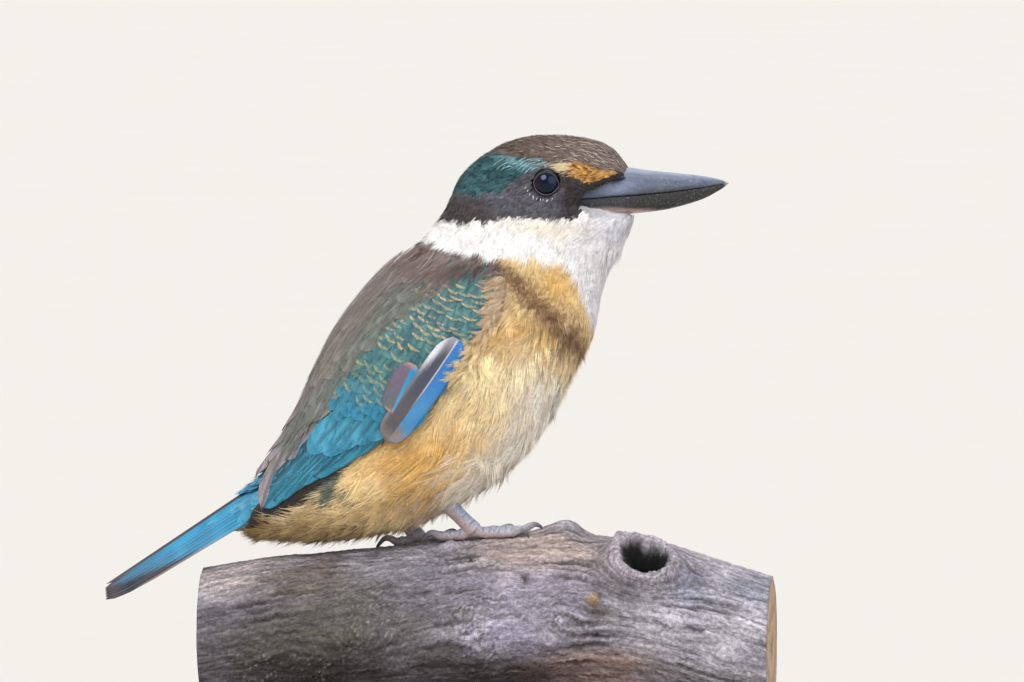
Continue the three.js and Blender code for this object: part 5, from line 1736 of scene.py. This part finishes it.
# The grain parts round the knot hole, whose distance is counted in radii of its oval.
from_hole = (angle - HOLE_TURN) * girth
away = np.hypot((x - 54.4) / 8.2, (from_hole + 0.5) / 6.6)
grain = grain - 5.0 * from_hole / (away ** 4 + 1.6)
flow = np.stack([x / 9, 0 * x, grain], -1)
lines = 0.6 * cloud(flow, 1.1, 61) + 0.6 * cloud(flow * [1.7, 1, 1], 0.65, 62)
ridge = cloud(flow, 3.6, 63)
split = step(cloud(flow * [0.8, 1, 1] + 5, 2.0, 64), 0.8, 1.25)
rough = np.clip(sum(blob(x, z, kx, kz, size, size) for kx, kz, size in CRUST), 0, 1) * front
rough = np.clip(rough + 0.35 * step(cloud(plain, 9, 65), 0.3, 1.0) * (1 - front), 0, 1)
grit = cloud(plain, 1.3, 66) * 0.6 + cloud(plain, 0.75, 67) * 0.6
crust = rough * step(cloud(plain, 1.9, 68) + 0.5 * cloud(plain, 0.9, 69), 0.15, 0.7)
pit = blob(x, z, 5.9, -4.3, 1.6, 1.3) + blob(x, z, 21.2, -9.8, 1.3, 1.0)
pit = pit + 0.7 * blob(x, z, 41.5, -25, 0.9, 1.3)
pit = pit * front * step(grit, -1.0, 0.2)
spin = np.arctan2(from_hole / 6.6, (x - 54.4) / 8.2)
ragged = 0.5 * np.sin(3 * spin + 1.0) + 0.4 * np.sin(7 * spin) + 0.3 * np.sin(13 * spin + 2) + 0.3 * grit
rim = np.exp(-((away - 1.12 - 0.05 * ragged) / 0.26) ** 2)
hollow = 1 - step(away - 0.07 * ragged, 0.72, 0.92)
rings = np.exp(-((away - 1.5) / 0.5) ** 2) * (0.5 + 0.5 * np.sin(away * 26 + 1.5 * cloud(plain, 3, 70)))
radius = base_radius + bumps
radius = radius + seam * (0.16 * lines + 0.3 * ridge - 0.45 * split + 0.06 * grit * (0.4 + 2.2 * rough))
radius = radius + seam * (0.45 * crust - 1.3 * pit - 0.3 * rings + rim * (0.5 + 0.5 * ragged))
radius = radius - hollow * (1.6 + 0.5 * grit)
points = np.stack([x, np.sin(angle) * radius, middle + np.cos(angle) * radius], -1)

wood = blend("#8f8992", "#77727c", step(cloud(plain, 11, 71), -0.2, 1.0) * 0.7)
wood = blend(wood, "#a6a2a9", step(cloud(plain, 13, 72), 0.0, 1.2) * 0.5 + 0.5 * step(x, 35, 60) * front)
wood = blend(wood, "#93807a", step(cloud(plain, 10, 73), 0.2, 1.4) * 0.35 * (1 - 0.6 * front))
fair = front * np.clip(0.9 + 0.25 * ridge, 0, 1)
# Blotches in side view: colour, share, middle and radii. The large dark olive one low at the rear is dark
# wood deepened by painted shade.
for colour, share, *spot in (
        ("#a8958a", 0.85, 25, -3, 17, 5), ("#b5a6a4", 0.85, -64, -9, 15, 5),
        ("#4d4c58", 0.7, -63, -21, 13, 3), ("#5b4d42", 0.8, -41, -11, 13, 4.5),
        ("#4a4034", 0.6, -36, -3, 6, 4), ("#45413a", 0.9, -37, -30, 20, 11),
        ("#5c584e", 0.85, -16, -18, 13, 8), ("#5a574c", 0.8, -29, -21, 14, 7),
        ("#69655c", 0.6, -52, -30, 13, 8), ("#716d78", 0.65, -4, -13, 16, 8),
        ("#aaa4b8", 0.75, 15, -28, 12, 6), ("#493d33", 0.85, 17, -37, 13, 5),
        ("#4d4a46", 0.8, -1, -33, 10, 5), ("#96776a", 0.75, 43, -35, 16, 5),
        ("#a59bae", 0.6, 27, -14, 12, 7), ("#5f667f", 0.7, 66, -11, 5, 4),
        ("#596078", 0.65, 71, -17, 6, 3), ("#5b617a", 0.6, 84, -13, 5, 3),
        ("#b9b4bc", 0.7, 72, -24, 15, 9), ("#8f8174", 0.5, 80, -2, 12, 3),
        ("#3f3a34", 0.6, 47, -12, 7, 3)):
    wood = blend(wood, colour, np.clip(1.7 * blob(x, z, *spot), 0, 1) * share * fair)
shade = 0.84 - 0.28 * step(-z, 19, 38) * (1 - 0.7 * step(x, 25, 45))
shade = shade - 0.14 * step(-x, 10, 50) * step(-z, 8, 20)
wood = wood * (shade * np.clip(1 + 0.27 * lines + 0.14 * ridge, 0.3, 1.6))[..., None]
# Darker in the splits: dark wood in the cracks, deepened by painted shade.
wood = blend(wood, "#332d29", np.clip(split, 0, 1) * 0.7)
wood = blend(wood, "#b3adb8", boss * front * step(x, -30, 0) * 0.45)
wood = wood * (1 + 0.22 * rough * grit)[..., None]
wood = layered(wood, [
    ("#3c3829", crust * step(cloud(plain, 2.6, 74), -0.3, 0.5) * 0.8),
    ("#c0b9b4", crust * step(cloud(plain, 1.4, 75), 0.4, 0.9) * 0.55),
    # Near black in the pits: painted shade.
    ("#1b1816", np.clip(pit, 0, 1) * 0.9),
    ("#ada3ab", np.clip(rim, 0, 1) * 0.7),
    ("#4b4147", np.clip(rings, 0, 1) * 0.6),
    ("#3a3240", np.clip(rim * step(grit, 0.1, 0.9), 0, 1) * 0.6),
    # Near black inside the knot hole: painted shade.
    ("#0b0a08", hollow)])
stub = np.exp(-np.hypot((x - 40.8) / 2.0, (z + 15.6) / 1.8) ** 4) * front
wood = layered(wood, [
    ("#a08660", stub * 0.9),
    ("#5a442c", blob(x, z, 42.6, -14.6, 0.8, 0.7) * front * 0.8),
    # A dark patch below the stub: its painted shadow.
    ("#3f2f20", blob(x, z, 43.0, -18.6, 3.2, 1.6) * front * 0.8)])
vane = np.stack([x / 10, grain / 10], -1)


# The sawn ends are flat discs with growth rings.
def sawn_end(ring_points):
    """Rings of points from a section's rim inwards to its middle."""
    middle = ring_points.mean(0)
    share = np.linspace(1, 0.02, 16)[:, None, None]
    return middle + (ring_points - middle)[None] * share


left, right = sawn_end(points[0])[::-1], sawn_end(points[-1])
rings = np.concatenate([left[:-1], points, right[1:]])


def end_tone(end, flip):
    """Pale wood with growth rings 1.5 mm apart, darker at the pith."""
    middle = end[-1 if flip else 0].mean(0)
    far = np.linalg.norm(end - middle, axis=-1)
    lines = 0.5 + 0.5 * np.sin(far * 2 * np.pi / 1.5 + 1.2 * lattice(far / 3, end[..., 2] / 4, 74))
    tone = blend("#b59a7c", "#8a6c50", lines * 0.7)
    return blend(tone, "#6e5743", np.exp(-(far / 2.0) ** 2) * 0.7)


tones = np.concatenate([end_tone(left, False)[:-1], wood, end_tone(right, True)[1:]])
vanes = np.concatenate([np.zeros(left[:-1].shape[:2] + (2,)), vane, np.zeros(right[1:].shape[:2] + (2,))])


# Weathered driftwood: bare, silvered softwood, matt, with fine grain lines along it that stand in low relief.
def driftwood_grain(tree, tone, place):
    """Lines 0.45 mm apart on the Grain UVs, drawn out ten to one, and pits half a millimetre across: the
    colour is multiplied by (1.1 lines + 0.42) (1.2 pits + 0.4), and the relief is 0.7 lines + 0.3 pits."""
    flow = node(tree, "ShaderNodeUVMap", {"uv_map": "Grain"}).outputs[0]
    stretched = node(tree, "ShaderNodeMapping", inputs={"Vector": flow, "Scale": (0.1, 1.0, 1.0)}).outputs[0]
    levels = []
    for where, scale, rough, gain, base in ((stretched, 0.5 / 0.045, 0.7, 1.1, 0.42),
                                            (place, 1 / MM, 0.8, 1.2, 0.4)):
        spots = node(tree, "ShaderNodeTexNoise", inputs={"Vector": where, "Scale": scale, "Detail": 4,
                                                         "Roughness": rough}).outputs[0]
        spots = node(tree, "ShaderNodeMapRange", inputs={"Value": spots, "From Min": NOISE_LOW,
                                                         "From Max": NOISE_HIGH}).outputs[0]
        level = node(tree, "ShaderNodeMath", {"operation": "MULTIPLY_ADD"},
                     {0: spots, 1: gain, 2: base}).outputs[0]
        tone = node(tree, "ShaderNodeVectorMath", {"operation": "SCALE"},
                    {0: tone, "Scale": level}).outputs[0]
        levels.append(spots)
    lines, pits = levels
    pits_part = node(tree, "ShaderNodeMath", {"operation": "MULTIPLY"}, {0: pits, 1: 0.3}).outputs[0]
    height = node(tree, "ShaderNodeMath", {"operation": "MULTIPLY_ADD"},
                  {0: lines, 1: 0.7, 2: pits_part}).outputs[0]
    rough = node(tree, "ShaderNodeMath", {"operation": "MULTIPLY_ADD"},
                 {0: pits, 1: 0.25, 2: 0.62}).outputs[0]
    relief = node(tree, "ShaderNodeBump", inputs={"Height": height, "Strength": 0.7, "Distance": 0.18
                                                  * MM}).outputs[0]
    return {"Base Color": tone, "Roughness": rough, "Normal": relief}


driftwood = material("weathered_driftwood", build=driftwood_grain, Specular_IOR_Level=0.3)
piece("driftwood_perch", shell(rings), driftwood, ["perch"], capped(tones),
      {"Grain": capped(vanes)})

# -------- display stand
def rounded_slab(size, corner, bevel):
    """A slab with rounded corners and edges: its outline, a rectangle with round corners, is carried up a
    profile that turns in over the bevel, with a shallow bead under the top edge."""
    turn = np.linspace(0, 2 * np.pi, 240, endpoint=False)
    normal = np.stack([np.cos(turn), np.sin(turn)], -1)
    outline = np.sign(normal) * (size[:2] / 2 - corner) + corner * normal
    t = np.linspace(0, np.pi / 2, 9)
    foot = np.array([[30, 0], [6, 0], [0.8, 0], [0.3, 0.1], [0, 0.5], [0, 3.4], [0.1, 3.6], [0.5, 3.75],
                     [0.5, 4.15], [0.1, 4.3], [0, 4.5]])
    edge = np.stack([bevel * (1 - np.cos(t)), size[2] - bevel + bevel * np.sin(t)], -1)
    inset, height = np.concatenate([foot, edge, [[6, size[2]], [30, size[2]]]]).T
    rings = outline[None] - normal[None] * np.minimum(inset, corner)[:, None, None]
    extra = np.maximum(inset - corner, 0)
    rings = rings * (1 - extra / (size[1] / 2))[:, None, None]
    return np.concatenate([rings, np.broadcast_to(height[:, None, None], rings.shape[:2] + (1,))], -1)


# Dark hardwood turned and oiled: close straight grain under a soft satin finish.
ALONG_BASE = (0.06, 1.0, 1.0)
oiled_wood = material("oiled_dark_hardwood", "#3a2519", ("#5a3b27", 2.5, 3, 0.0, 1.0, ALONG_BASE),
                      (0.5, 4, 0.75, 1.2, ALONG_BASE), bump=(0.5, 4, 0.2, 0.025, ALONG_BASE), Roughness=0.42,
                      Coat_Weight=0.25, Coat_Roughness=0.3)
low, high = (np.array(corner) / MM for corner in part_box("stand_base"))
slab = rounded_slab(high - low, 18, 1.6)
slab = slab + [(low[0] + high[0]) / 2, (low[1] + high[1]) / 2, low[2]] - ORIGIN
piece("display_base", shell(slab), oiled_wood, ["stand_base"])

# Lacquered brass rod: drawn along its length, so its fine lines run upwards.
UP_ROD = (1.0, 1.0, 0.05)
drawn_brass = material("drawn_brass", "#b08d4e", rough=(0.3, 3, 0.24, 0.38, UP_ROD),
                       bump=(0.3, 3, 0.15, 0.03, UP_ROD), Metallic=1.0)
for end in ("front", "rear"):
    low, high = (np.array(corner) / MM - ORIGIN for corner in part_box(f"stand_rod_{end}"))
    cx, cy = (low[0] + high[0]) / 2, (low[1] + high[1]) / 2
    wide, top = (high[0] - low[0]) / 2, high[2] + 1.0
    z = low[2] + np.array([0, 0.0, 0.25, 0.6, 2.4, 2.8, 3.1, 3.2, 3.4])
    r = np.array([wide - 0.5, wide - 0.2, wide, wide, wide, wide - 0.25, wide - 0.9, 2.8, 2.5])
    z, r = np.append(z, np.linspace(low[2] + 4, top, 20)), np.append(r, np.full(20, 2.5))
    turn = np.linspace(0, 2 * np.pi, 48, endpoint=False)
    r, z = r[:, None], z[:, None]
    rings = np.stack([cx + r * np.cos(turn), cy + r * np.sin(turn), z + 0 * turn], -1)
    piece(f"brass_rod_{end}", shell(rings), drawn_brass, [f"stand_rod_{end}"])

# -------- floor, light and camera
floor_mesh = bpy.data.meshes.new("studio_floor")
floor_mesh.from_pydata([(-20, -20, 0), (20, -20, 0), (20, 20, 0), (-20, 20, 0)], [], [(0, 1, 2, 3)])
floor = placed("studio_floor", floor_mesh)
# Painted studio floor: flat, pale and nearly neutral.
floor_paint = material("pale_studio_floor", "#cbc7c0", rough=(40, 2, 0.7, 0.85), Specular_IOR_Level=0.2)
floor_mesh.materials.append(floor_paint)

world = bpy.context.scene.world or bpy.data.worlds.new("studio")
bpy.context.scene.world = world
world.use_nodes = True
sky = world.node_tree.nodes["Background"]
sky.inputs["Color"].default_value = (*linear("#e9eef6"), 1)
sky.inputs["Strength"].default_value = 0.7

# Soft lamps: where each shines from (azimuth from the front towards the right of view, and height, in
# degrees), its strength, and how wide it spreads.
for name, across, up, strength, spread, tint in (("key", -32, 48, 2.45, 38, "#fffdf8"),
                                                 ("fill", 48, 24, 1.15, 60, "#f8f7ff"),
                                                 ("back", 165, 50, 0.9, 50, "#ffffff")):
    lamp = bpy.data.lights.new(name, "SUN")
    lamp.energy, lamp.angle, lamp.color = strength, np.radians(spread), linear(tint)
    placed(name, lamp).rotation_euler = (np.radians(90 - up), 0, np.radians(across))

bpy.context.scene.view_settings.view_transform = "Standard"

# The camera: the point it looks at, its turn from the right side towards the front, its height in degrees,
# and its distance in metres.
AIM = (ORIGIN + np.array([16.0, 0.0, 55.7])) * MM
AZIMUTH, ELEVATION, DISTANCE = np.radians(5), np.radians(3), 4.78
camera_data = bpy.data.cameras.new("camera")
camera_data.sensor_width, camera_data.lens = 36, 600
camera_data.clip_end = 100
camera = placed("camera", camera_data)
way = np.array([np.sin(AZIMUTH) * np.cos(ELEVATION), -np.cos(AZIMUTH) * np.cos(ELEVATION), np.sin(ELEVATION)])
camera.location = AIM + way * DISTANCE
camera.rotation_euler = (np.pi / 2 - ELEVATION, 0, AZIMUTH)
bpy.context.scene.camera = camera
